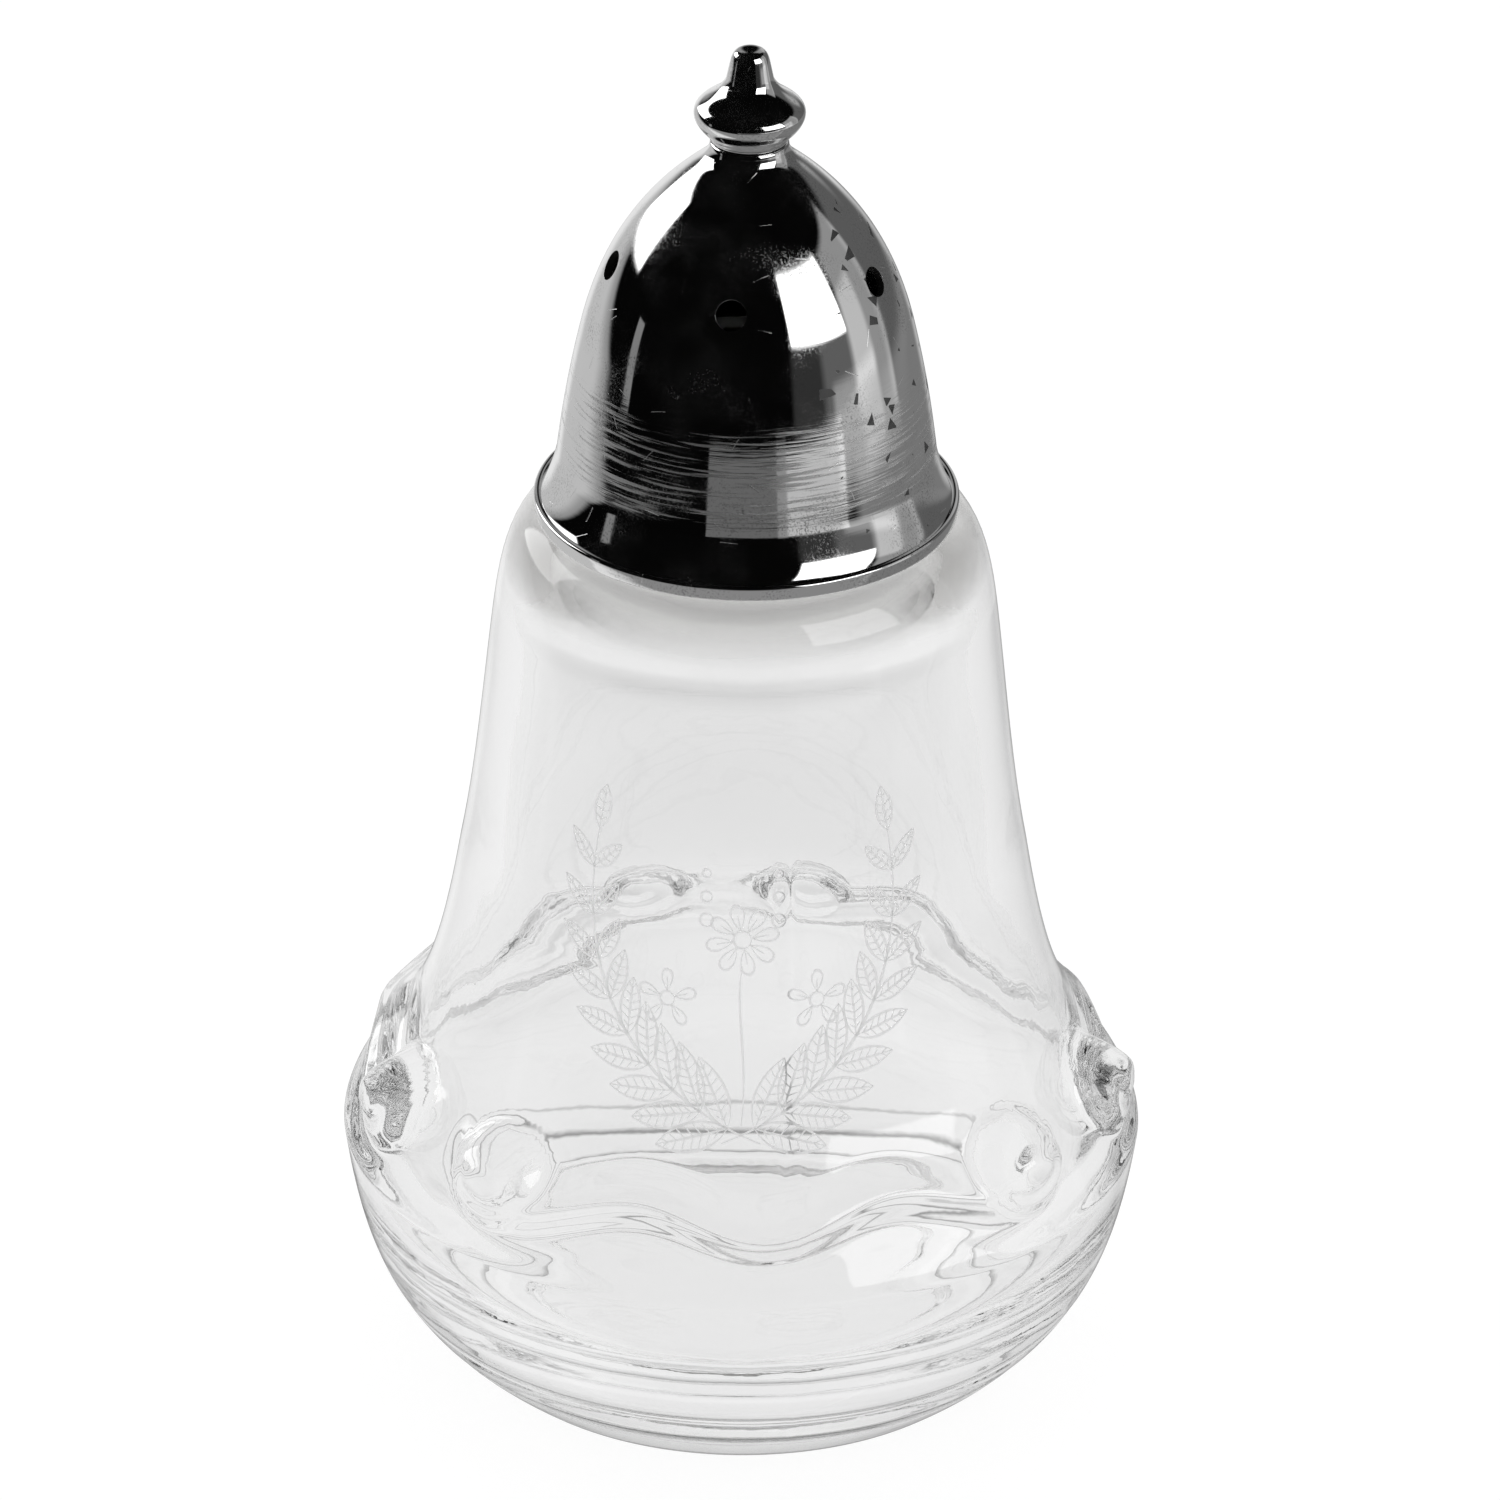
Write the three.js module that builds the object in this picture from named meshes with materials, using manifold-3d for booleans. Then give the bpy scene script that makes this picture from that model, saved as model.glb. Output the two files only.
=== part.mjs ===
// A glass shaker with a plated screw lid.
// Millimetres, +Z up. The foot stands on z = 0 and the axis of the jar is the Z axis.
// Angles are measured about +Z from the front, which faces -Y, towards +X.
import * as THREE from 'three';
import { mergeVertices } from 'three/addons/utils/BufferGeometryUtils.js';
import Module from 'manifold-3d';

const wasm = await Module();
wasm.setup();

// Jar, outside
const footRadius = 16.6;
const footRingWidth = 3.2;
const footRecess = 0.8;
const grooveHeight = 3.1;
const grooveDepth = 0.25;
const creaseHeight = 5.7;
const creaseDepth = 0.12;
const scoreHalfWidth = 0.45;
const bellyRadius = 24.75;
const bellyHeight = 15;
const slopeFlare = 2.8;
const slopeHeight = 23.2;
const waistRadius = 17.5;
const waistHeight = 34.2;
const shoulderRadius = 15.5;
const shoulderDrop = 7.3;
const seatHeight = 57.5;

// Jar, moulded ridge between the belly and the waist
const ridgeUnits = 3;
const ridgeTurnDeg = 4;
const ridgeHeight = 20;
const ridgeWave = 0.8;
const ridgeProud = 0.85;
const ridgeLean = 0.35;
const ridgeLeanDeg = -105;
const ridgeHalfWidth = 1.7;
const ridgeReach = 5;
const lobeAngleDeg = 45;
const lobeSpreadDeg = 14;
const lobeDip = 0.4;
const lobeHeight = 19.8;
const lobeInset = 0.1;
const lobeHalfWidth = 3.6;
const lobeHalfHeight = 3.1;

// Jar, inside and neck
const wall = 2.5;
const floorThickness = 4.6;
const neckLength = 8.8;
const neckWall = 2.1;
const lipRound = 0.5;

// Screw thread
const pitch = 3.6;
const threadRunIn = 2.1;
const threadRunOut = 0.8;
const neckThread = { depth: 0.9, foot: 1.7, crest: 0.8 };
const collarThread = { depth: -0.75, foot: 1.3, crest: 0.6 };
const crestClearance = 0.3;
const flankClearance = 0.1;
const threadSink = 0.2;
const threadTaperTurns = 0.2;

// Lid shell
const sheet = 0.5;
const rimRadius = 13;
const rimOverhang = 0.6;
const beadRadius = 0.3;
const beadProud = 0.5;
const rimGap = 0.3;
const flareRise = 3.2;
const flareInset = 1.3;
const domeTaper = 1.5;
const domeShoulderRise = 11.7;
const domeHeight = 24.4;
const bossRadius = 2.5;
const bossRise = 0.9;
const sprinkleHoles = 5;
const sprinkleRadius = 0.95;
const sprinkleDrop = 7.7;
const sprinkleTurnDeg = -7;

// Threaded collar inside the lid
const collarWall = 0.45;
const collarLength = 6.9;
const collarRaise = 0.3;
const collarGap = 0.3;
const collarThreadMargin = 0.1;
const flangeThickness = 0.5;

// Finial and its washer
const finialHeight = 5.95;
const discRadius = 3.38;
const discRise = 1.75;
const discEdge = 0.45;
const stemInset = 1.05;
const tipRadius = 0.7;
const tenonRadius = 0.9;
const tenonGap = 0.2;
const headLip = 0.5;
const headThickness = 0.6;
const headRound = 0.3;
const seatGap = 0.1;
const washerThickness = 0.6;

// Facets round each turned shape
const jarFacets = 72;
const boreFacets = 36;
const lidFacets = 40;
const holeFacets = 14;
const finialFacets = 24;
const stepsPerTurn = 30;

const slopeRadius = waistRadius + slopeFlare;
const shoulderHeight = seatHeight - shoulderDrop;
const rimHeight = seatHeight + rimGap;
const hemRadius = rimRadius - beadProud - sheet;
const flareTopRadius = rimRadius - flareInset;
const domeShoulderRadius = flareTopRadius - domeTaper;
const domeTop = rimHeight + domeHeight;
const neckTop = seatHeight + neckLength;
const collarBottom = rimHeight + collarRaise;
const collarTop = collarBottom + collarLength;
const domeOutline = domeSide().getPoints(5);
const collarRadius = radiusAt(domeOutline, collarTop) - sheet - collarGap;
const threadRadius = collarRadius - collarWall;
const neckRadius = threadRadius - crestClearance - neckThread.depth;
const boreRadius = neckRadius - neckWall;

const glass = new THREE.MeshStandardMaterial({
  color: 0xe6eaea, roughness: 0.05, metalness: 0, transparent: true, opacity: 0.5,
});
const plate = new THREE.MeshStandardMaterial({ color: 0xc9c8c4, roughness: 0.12, metalness: 1 });
const brass = new THREE.MeshStandardMaterial({ color: 0xb59a62, roughness: 0.35, metalness: 1 });

// The radius of an outline at a height, where the outline rises.
function radiusAt(points, height) {
  const above = points.findIndex((point) => point.y >= height);
  const [low, high] = [points[above - 1], points[above]];
  return THREE.MathUtils.mapLinear(height, low.y, high.y, low.x, high.x);
}

// Turns an outline of radius and height into a closed surface about the Z axis.
function turned(points, facets, startDeg = 0) {
  const start = THREE.MathUtils.degToRad(startDeg);
  return new THREE.LatheGeometry(points, facets, start, 2 * Math.PI).rotateX(Math.PI / 2);
}

// Makes a solid of a closed surface, with shared vertices merged and collapsed triangles dropped.
function solid(geometry) {
  const bare = geometry.clone();
  bare.deleteAttribute('normal');
  bare.deleteAttribute('uv');
  const merged = mergeVertices(bare, 1e-5);
  const corners = merged.index.array;
  const kept = [];
  for (let i = 0; i < corners.length; i += 3) {
    const [a, b, c] = [corners[i], corners[i + 1], corners[i + 2]];
    if (a !== b && b !== c && c !== a) {
      kept.push(a, b, c);
    }
  }
  return new wasm.Manifold(new wasm.Mesh({
    numProp: 3,
    vertProperties: new Float32Array(merged.attributes.position.array),
    triVerts: new Uint32Array(kept),
  }));
}

// Makes a named mesh of a solid.
function part(name, body, material) {
  const { vertProperties, triVerts } = body.getMesh();
  const geometry = new THREE.BufferGeometry();
  geometry.setAttribute('position', new THREE.BufferAttribute(vertProperties, 3));
  geometry.setIndex(new THREE.BufferAttribute(triVerts, 1));
  geometry.computeVertexNormals();
  const mesh = new THREE.Mesh(geometry, material);
  mesh.name = name;
  return mesh;
}

// A rounded bump that is 1 in the middle and falls smoothly to 0 at a distance of 1.
function bump(distance) {
  const near = Math.max(0, 1 - distance * distance);
  return near * near;
}

// A flat-topped knob that is 1 in the middle and falls steeply to 0 at a distance of 1.
function knob(distance) {
  return Math.max(0, 1 - distance ** 4) ** 1.5;
}

// A right-hand screw thread's ridge, tapering to nothing at both ends. Its base lies at baseRadius
// and its crest stands the thread's depth further out, or further in where the depth is negative.
// Its middle climbs from firstHeight to lastHeight and would pass the front at zeroHeight.
function threadRidge(thread, baseRadius, zeroHeight, firstHeight, lastHeight) {
  const { depth, foot, crest } = thread;
  const sunkRadius = baseRadius - Math.sign(depth) * threadSink;
  const firstTurn = (firstHeight - zeroHeight) / pitch;
  const steps = Math.round(((lastHeight - firstHeight) / pitch) * stepsPerTurn);
  const taper = threadTaperTurns * stepsPerTurn;
  const points = [];
  for (let step = 0; step <= steps; step += 1) {
    const turns = firstTurn + step / stepsPerTurn;
    const angle = turns * 2 * Math.PI;
    const middle = zeroHeight + turns * pitch;
    const rise = Math.min(1, (step + 0.5) / taper, (steps - step + 0.5) / taper);
    const crestRadius = baseRadius + depth * rise;
    const section = [
      [sunkRadius, -foot / 2],
      [crestRadius, -crest / 2],
      [crestRadius, crest / 2],
      [sunkRadius, foot / 2],
    ];
    for (const [radius, height] of section) {
      points.push(radius * Math.sin(angle), -radius * Math.cos(angle), middle + height);
    }
  }
  const triangles = [];
  for (let step = 0; step < steps; step += 1) {
    for (let side = 0; side < 4; side += 1) {
      const a = step * 4 + side;
      const b = step * 4 + ((side + 1) % 4);
      triangles.push(a, a + 4, b, b, a + 4, b + 4);
    }
  }
  const last = steps * 4;
  triangles.push(0, 1, 2, 0, 2, 3, last, last + 2, last + 1, last, last + 3, last + 2);
  if (depth < 0) {
    triangles.reverse();
  }
  const geometry = new THREE.BufferGeometry();
  geometry.setAttribute('position', new THREE.Float32BufferAttribute(points, 3));
  geometry.setIndex(triangles);
  return solid(geometry);
}

// Scores a line round a rising outline, deepest at a height and running out at both sides of it.
function scored(points, height, depth) {
  const [low, high] = [height - scoreHalfWidth, height + scoreHalfWidth];
  const kept = points.filter((point) => point.y < low || point.y > high);
  return [
    ...kept,
    new THREE.Vector2(radiusAt(points, low), low),
    new THREE.Vector2(radiusAt(points, height) - depth, height),
    new THREE.Vector2(radiusAt(points, high), high),
  ].sort((a, b) => a.y - b.y);
}

// The jar's plain side from the foot up to the shoulder, as radius and height. The bowl bulges from
// the foot to the belly in one curve, with the mould's two joints scored round it.
function jarSide() {
  const reach = bellyRadius - footRadius;
  const bowl = new THREE.CubicBezierCurve(
    new THREE.Vector2(footRadius, 0),
    new THREE.Vector2(footRadius + 0.68 * reach, 0.28 * bellyHeight),
    new THREE.Vector2(bellyRadius - 0.13 * reach, 0.5 * bellyHeight),
    new THREE.Vector2(bellyRadius, bellyHeight),
  );
  const grooved = scored(bowl.getPoints(9), grooveHeight, grooveDepth);
  const slope = new THREE.CubicBezierCurve(
    new THREE.Vector2(bellyRadius, bellyHeight),
    new THREE.Vector2(bellyRadius, bellyHeight + 1.5),
    new THREE.Vector2(slopeRadius + 1.6, slopeHeight - 3.2),
    new THREE.Vector2(slopeRadius, slopeHeight),
  );
  const throat = new THREE.CubicBezierCurve(
    new THREE.Vector2(slopeRadius, slopeHeight),
    new THREE.Vector2(slopeRadius - 1.4, slopeHeight + 2.8),
    new THREE.Vector2(waistRadius + 0.6, waistHeight - 3.7),
    new THREE.Vector2(waistRadius, waistHeight),
  );
  const column = new THREE.CubicBezierCurve(
    new THREE.Vector2(waistRadius, waistHeight),
    new THREE.Vector2(waistRadius - 1, waistHeight + 5.3),
    new THREE.Vector2(shoulderRadius + 0.6, shoulderHeight - 5.2),
    new THREE.Vector2(shoulderRadius, shoulderHeight),
  );
  return [
    ...scored(grooved, creaseHeight, creaseDepth),
    ...slope.getPoints(11).slice(1),
    ...throat.getPoints(5).slice(1),
    ...column.getPoints(4).slice(1),
  ];
}

// The height of the ridge's crest at an angle from the middle of the nearest unit.
function crestHeight(angleDeg) {
  const wave = -ridgeWave * Math.cos(THREE.MathUtils.degToRad(3 * ridgeUnits * angleDeg));
  const lobe = bump((Math.abs(angleDeg) - lobeAngleDeg) / lobeSpreadDeg);
  return ridgeHeight + wave - lobeDip * lobe;
}

// Raises the ridge and its lobes on the plain turned jar. The ridge stands prouder on one side, runs
// out between the lobes of two units, and the lobes' faces come out as far as the belly.
function mouldRidge(geometry, sidePoints) {
  const place = geometry.attributes.position;
  const unitDeg = 360 / ridgeUnits;
  for (let i = 0; i < place.count; i += 1) {
    const [x, y, z] = [place.getX(i), place.getY(i), place.getZ(i)];
    const follow = bump((z - ridgeHeight) / ridgeReach);
    if (follow > 0) {
      const radius = Math.hypot(x, y);
      const turn = THREE.MathUtils.radToDeg(Math.atan2(x, -y));
      const angle = turn - ridgeTurnDeg - unitDeg * Math.round((turn - ridgeTurnDeg) / unitDeg);
      const crest = crestHeight(angle);
      const height = z + (crest - ridgeHeight) * follow;
      const plain = radiusAt(sidePoints, height);
      const aside = THREE.MathUtils.degToRad(Math.abs(angle) - lobeAngleDeg) * radius;
      const above = height - lobeHeight;
      const lobe = knob(Math.hypot(aside / lobeHalfWidth, above / lobeHalfHeight));
      const lean = ridgeLean * Math.cos(THREE.MathUtils.degToRad(turn - ridgeLeanDeg));
      const runOut = bump(Math.max(0, Math.abs(angle) - lobeAngleDeg) / lobeSpreadDeg);
      const bead = (ridgeProud + lean) * runOut * bump((height - crest) / ridgeHalfWidth);
      const proud = Math.max(bead, (bellyRadius - lobeInset - plain) * lobe);
      const scale = (plain + proud) / radius;
      place.setXYZ(i, x * scale, y * scale, height);
    }
  }
  return geometry;
}

// The hollow of the jar, up through its neck and out at the top.
function jarHollow() {
  const innerShoulder = seatHeight - wall - 1;
  const inside = new THREE.Path();
  inside.moveTo(0, floorThickness);
  inside.lineTo(footRadius - wall - 2, floorThickness);
  inside.bezierCurveTo(
    footRadius - wall + 3.5, floorThickness,
    bellyRadius - wall, bellyHeight - 5.5,
    bellyRadius - wall - 0.3, bellyHeight,
  );
  inside.bezierCurveTo(
    bellyRadius - wall - 0.6, bellyHeight + 3.5,
    slopeRadius - wall - 0.9, slopeHeight + 0.3,
    waistRadius - wall, waistHeight,
  );
  inside.lineTo(shoulderRadius - wall, shoulderHeight);
  inside.bezierCurveTo(
    shoulderRadius - wall - 0.3, innerShoulder,
    boreRadius, innerShoulder,
    boreRadius, seatHeight,
  );
  inside.lineTo(boreRadius, neckTop + 1);
  inside.lineTo(0, neckTop + 1);
  return solid(turned(inside.getPoints(6), boreFacets));
}

function makeJar() {
  const foot = new THREE.Path();
  const ringInner = footRadius - footRingWidth;
  foot.moveTo(0, footRecess);
  foot.lineTo(ringInner - footRecess, footRecess);
  foot.lineTo(ringInner, 0);
  const shoulder = new THREE.CubicBezierCurve(
    new THREE.Vector2(shoulderRadius, shoulderHeight),
    new THREE.Vector2(shoulderRadius - 0.4, shoulderHeight + 3.4),
    new THREE.Vector2(shoulderRadius - 0.9, seatHeight - 0.9),
    new THREE.Vector2(rimRadius - rimOverhang, seatHeight),
  );
  const neck = new THREE.Path();
  neck.moveTo(neckRadius, seatHeight);
  neck.lineTo(neckRadius, neckTop - lipRound);
  neck.lineTo(neckRadius - lipRound, neckTop);
  neck.lineTo(0, neckTop);
  const sidePoints = jarSide();
  const points = [
    ...foot.getPoints(),
    ...sidePoints,
    ...shoulder.getPoints(5).slice(1),
    ...neck.getPoints(),
  ];
  const body = solid(mouldRidge(turned(points, jarFacets, ridgeTurnDeg), sidePoints));
  const thread = threadRidge(
    neckThread,
    neckRadius,
    seatHeight + threadRunIn,
    seatHeight + threadRunIn,
    neckTop - threadRunOut - neckThread.foot / 2,
  );
  return part('glass_jar', body.add(thread).subtract(jarHollow()), glass);
}

// The lid shell's outside from the groove above the bead to the boss under the finial.
function domeSide() {
  const side = new THREE.Path();
  const shoulder = rimHeight + domeShoulderRise;
  side.moveTo(rimRadius - beadProud, rimHeight + 2.5 * beadRadius);
  side.bezierCurveTo(
    rimRadius - beadProud - 0.1, rimHeight + 0.45 * flareRise,
    flareTopRadius + 0.15, rimHeight + 0.55 * flareRise,
    flareTopRadius, rimHeight + flareRise,
  );
  side.bezierCurveTo(
    flareTopRadius - 0.4, rimHeight + flareRise + 2.4,
    domeShoulderRadius + 0.7, shoulder - 3.2,
    domeShoulderRadius, shoulder,
  );
  side.bezierCurveTo(
    domeShoulderRadius - 0.9, shoulder + 4.1,
    bossRadius + 4.9, domeTop - bossRise - 3.9,
    bossRadius + 0.25, domeTop - bossRise - 0.1,
  );
  side.quadraticCurveTo(bossRadius, domeTop - bossRise + 0.1, bossRadius, domeTop);
  return side;
}

// Moves an outline inwards, towards the axis and down, by the thickness of the sheet.
function insideOf(points) {
  return points.map((point, i) => {
    const before = points[Math.max(0, i - 1)];
    const after = points[Math.min(points.length - 1, i + 1)];
    const along = after.clone().sub(before).normalize();
    return new THREE.Vector2(point.x - sheet * along.y, point.y + sheet * along.x);
  });
}

// Punches square to the dome's surface, one for each sprinkle hole.
function holePunches() {
  const height = domeTop - sprinkleDrop;
  const radius = radiusAt(domeOutline, height);
  const lean = Math.atan2(radius - radiusAt(domeOutline, height + 1), 1);
  return Array.from({ length: sprinkleHoles }, (_, k) => {
    const angle = THREE.MathUtils.degToRad(sprinkleTurnDeg + (360 * k) / sprinkleHoles);
    const punch = new THREE.CylinderGeometry(sprinkleRadius, sprinkleRadius, 6 * sheet, holeFacets);
    punch.rotateX(-lean);
    punch.translate(0, -radius, height);
    punch.rotateZ(angle);
    return solid(punch);
  });
}

function makeDome() {
  const inside = insideOf(domeOutline);
  const ceiling = domeTop - sheet;
  inside.forEach((point) => point.setY(Math.min(point.y, ceiling)));
  const bead = new THREE.Path();
  const [from, to] = [-Math.PI / 2, Math.PI * 0.4];
  bead.absarc(rimRadius - beadRadius, rimHeight + beadRadius, beadRadius, from, to);
  const hem = new THREE.Vector2(hemRadius, rimHeight);
  const points = [
    hem,
    ...bead.getPoints(3),
    ...domeOutline,
    new THREE.Vector2(tenonRadius + tenonGap, domeTop),
    new THREE.Vector2(tenonRadius + tenonGap, ceiling),
    ...inside.reverse(),
    hem,
  ];
  const shell = solid(turned(points, lidFacets));
  const pierced = holePunches().reduce((left, punch) => left.subtract(punch), shell);
  return part('lid_dome', pierced, plate);
}

function makeCollar() {
  const flangeRadius = hemRadius - collarGap;
  const outline = new THREE.Path();
  outline.moveTo(threadRadius, collarBottom);
  outline.lineTo(flangeRadius, collarBottom);
  outline.lineTo(flangeRadius, collarBottom + flangeThickness);
  outline.lineTo(collarRadius, collarBottom + flangeThickness);
  outline.lineTo(collarRadius, collarTop);
  outline.lineTo(threadRadius, collarTop);
  outline.lineTo(threadRadius, collarBottom);
  const neckHalf = (neckThread.foot + neckThread.crest) / 4;
  const collarHalf = (collarThread.foot + collarThread.crest) / 4;
  const margin = collarThread.foot / 2 + collarThreadMargin;
  const thread = threadRidge(
    collarThread,
    threadRadius,
    seatHeight + threadRunIn - neckHalf - collarHalf - flankClearance,
    collarBottom + margin,
    collarTop - margin,
  );
  return part('thread_collar', solid(turned(outline.getPoints(), lidFacets)).add(thread), brass);
}

function makeFinial() {
  const base = domeTop + seatGap;
  const tip = base + finialHeight;
  const washerUnder = domeTop - sheet - seatGap - washerThickness;
  const head = washerUnder - seatGap;
  const headRadius = tenonRadius + headLip;
  const discBottom = base + discRise - discEdge / 2;
  const discTop = base + discRise + discEdge / 2;
  const stemRadius = bossRadius - stemInset;
  const outline = new THREE.Path();
  outline.moveTo(0, head - headThickness);
  outline.lineTo(headRadius - headRound, head - headThickness);
  outline.lineTo(headRadius, head - headThickness + headRound);
  outline.lineTo(headRadius, head);
  outline.lineTo(tenonRadius, head);
  outline.lineTo(tenonRadius, base);
  outline.lineTo(bossRadius, base);
  outline.quadraticCurveTo(bossRadius, base + 0.7, discRadius - 0.1, discBottom);
  outline.lineTo(discRadius, base + discRise);
  outline.lineTo(discRadius - 0.1, discTop);
  outline.bezierCurveTo(
    discRadius - 1, discTop + 0.8,
    stemRadius + 0.25, discTop + 1.2,
    stemRadius, discTop + 2,
  );
  outline.lineTo(stemRadius - 0.2, tip - 1);
  outline.bezierCurveTo(stemRadius - 0.3, tip - 0.2, tipRadius, tip, 0, tip);
  return part('finial', solid(turned(outline.getPoints(5), finialFacets)), plate);
}

function makeWasher() {
  const top = domeTop - sheet - seatGap;
  const inner = tenonRadius + seatGap;
  const outer = bossRadius - sheet - tenonGap;
  const outline = new THREE.Path();
  outline.moveTo(inner, top - washerThickness);
  outline.lineTo(outer, top - washerThickness);
  outline.lineTo(outer, top);
  outline.lineTo(inner, top);
  outline.lineTo(inner, top - washerThickness);
  return part('finial_washer', solid(turned(outline.getPoints(), finialFacets)), brass);
}

const shaker = new THREE.Group();
shaker.add(makeJar(), makeDome(), makeCollar(), makeFinial(), makeWasher());

export default shaker;
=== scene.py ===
"""Glass shaker with a plated screw lid: its fine meshes and finishes, built round the frame.

Sizes are written in millimetres and turned to metres as a mesh is made. Angles are measured about
+Z from the front, which faces -Y, towards +X.
"""

import bisect
import logging
import math
from dataclasses import dataclass
from enum import Enum

import bmesh
import bpy
from mathutils import Matrix, Vector
from mathutils.geometry import interpolate_bezier


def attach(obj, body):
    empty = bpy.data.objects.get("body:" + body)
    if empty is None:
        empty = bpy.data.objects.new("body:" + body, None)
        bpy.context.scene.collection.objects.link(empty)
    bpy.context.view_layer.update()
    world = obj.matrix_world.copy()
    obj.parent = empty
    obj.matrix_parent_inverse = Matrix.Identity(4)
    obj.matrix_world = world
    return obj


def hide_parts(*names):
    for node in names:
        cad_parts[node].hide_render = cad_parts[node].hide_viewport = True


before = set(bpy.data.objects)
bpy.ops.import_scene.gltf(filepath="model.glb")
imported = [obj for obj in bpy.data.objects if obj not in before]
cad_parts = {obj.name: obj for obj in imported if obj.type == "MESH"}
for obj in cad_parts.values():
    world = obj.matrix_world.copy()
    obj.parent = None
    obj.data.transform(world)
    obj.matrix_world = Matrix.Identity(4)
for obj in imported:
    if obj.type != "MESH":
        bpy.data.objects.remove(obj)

MM = 0.001
SECTORS = 8
MERGE_MM = 1e-4
NEAR_MM = 0.02
PITCH_MM = 3.6
Point = tuple[float, float]
Outline = list[Point]
Wire = float | bpy.types.Node | bpy.types.NodeSocket
log = logging.getLogger("shaker")


class Body(Enum):
    """The moving bodies that a piece can ride on."""

    JAR = "jar"
    LID_LIFT = "lid_lift"
    LID = "lid"


class Slot(Enum):
    """The record's material slots."""

    GLASS = "jar_glass"
    PLATE = "lid_plate"
    BRASS = "bare_brass"


def bump(distance: float) -> float:
    """A rounded bump: 1 in the middle, falling smoothly to 0 at a distance of 1."""
    return max(0.0, 1.0 - distance * distance) ** 2


def knob(distance: float) -> float:
    """A flat-topped knob: 1 in the middle, falling steeply to 0 at a distance of 1."""
    return max(0.0, 1.0 - distance**4) ** 1.5


def smooth_step(value: float) -> float:
    """A smooth ramp from 0 at 0 to 1 at 1."""
    t = min(1.0, max(0.0, value))
    return t * t * (3.0 - 2.0 * t)


def curve(start: Point, first: Point, second: Point, end: Point, count: int) -> Outline:
    """Points along a cubic curve, without its first point.

    Args:
        start: Where the curve starts, as radius and height.
        first: The handle at its start.
        second: The handle at its end.
        end: Where it ends.
        count: How many points it gives.

    Returns:
        The points after the start, up to and with the end.
    """
    knots = [Vector((*p, 0.0)) for p in (start, first, second, end)]
    return [(p.x, p.y) for p in interpolate_bezier(*knots, count + 1)[1:]]


def line(start: Point, end: Point, count: int = 1) -> Outline:
    """Points along a straight line, without its first point.

    Args:
        start: Where the line starts.
        end: Where it ends.
        count: How many points it gives.

    Returns:
        The points after the start, up to and with the end.
    """
    a, b = Vector(start), Vector(end)
    return [tuple(a.lerp(b, (i + 1) / count)) for i in range(count)]


def radius_at(outline: Outline, height: float) -> float:
    """The radius of a rising outline at a height.

    Args:
        outline: Points of radius and height, going up.
        height: The height asked for.

    Returns:
        The radius there, kept at the outline's ends beyond them.
    """
    after = bisect.bisect_left(outline, height, key=lambda point: point[1])
    if after in (0, len(outline)):
        return outline[min(after, len(outline) - 1)][0]
    (r0, z0), (r1, z1) = outline[after - 1 : after + 1]
    return r0 + (r1 - r0) * (height - z0) / max(z1 - z0, 1e-9)


def turn_outline(outline: Outline, steps: int, closed: bool = False) -> bmesh.types.BMesh:
    """Spins an outline about the Z axis into a closed surface with its faces pointing out.

    One sector is spun and then copied round, which is much quicker than one long spin.

    Args:
        outline: Points of radius and height in millimetres.
        steps: How many steps go round, a multiple of the sectors.
        closed: Whether the outline's end joins its start, as a ring's does.

    Returns:
        The new mesh, in millimetres.
    """
    mesh = bmesh.new()
    verts = [mesh.verts.new((0.0, -radius, height)) for radius, height in outline]
    pairs = list(zip(verts, verts[1:])) + ([(verts[-1], verts[0])] if closed else [])
    edges = [mesh.edges.new(pair) for pair in pairs]
    sector = 2 * math.pi / SECTORS
    bmesh.ops.spin(
        mesh, geom=verts + edges, cent=(0, 0, 0), axis=(0, 0, 1), dvec=(0, 0, 0),
        angle=sector, steps=steps // SECTORS, use_merge=False, use_duplicate=False,
    )
    first = mesh.verts[:] + mesh.edges[:] + mesh.faces[:]
    for k in range(1, SECTORS):
        copied = bmesh.ops.duplicate(mesh, geom=first)["geom"]
        bmesh.ops.rotate(
            mesh, verts=[part for part in copied if isinstance(part, bmesh.types.BMVert)],
            cent=(0, 0, 0), matrix=Matrix.Rotation(k * sector, 3, "Z"),
        )
    bmesh.ops.remove_doubles(mesh, verts=mesh.verts, dist=MERGE_MM)
    bmesh.ops.recalc_face_normals(mesh, faces=mesh.faces)
    return mesh


def place(mesh: bmesh.types.BMesh, name: str, sharp_deg: float = 50.0) -> bpy.types.Object:
    """Turns a mesh from millimetres to metres and puts it in the scene as a smooth object.

    Args:
        mesh: The mesh, which is freed.
        name: The object's name.
        sharp_deg: Edges that turn by more than this stay sharp.

    Returns:
        The new object, at the origin.
    """
    bmesh.ops.transform(mesh, matrix=Matrix.Scale(MM, 4), verts=mesh.verts)
    data = bpy.data.meshes.new(name)
    mesh.to_mesh(data)
    mesh.free()
    data.shade_smooth()
    data.set_sharp_from_angle(angle=math.radians(sharp_deg))
    piece = bpy.data.objects.new(name, data)
    bpy.context.scene.collection.objects.link(piece)
    return piece


def round_edges(mesh: bmesh.types.BMesh, edges: list[bmesh.types.BMEdge], width: float) -> None:
    """Rounds edges of a mesh.

    Args:
        mesh: The mesh.
        edges: Its edges that are rounded.
        width: How far the rounding reaches from each edge.
    """
    bmesh.ops.bevel(
        mesh, geom=edges, offset=width, offset_type="OFFSET", segments=3, profile=0.5,
        affect="EDGES", clamp_overlap=True, material=-1,
    )


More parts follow.
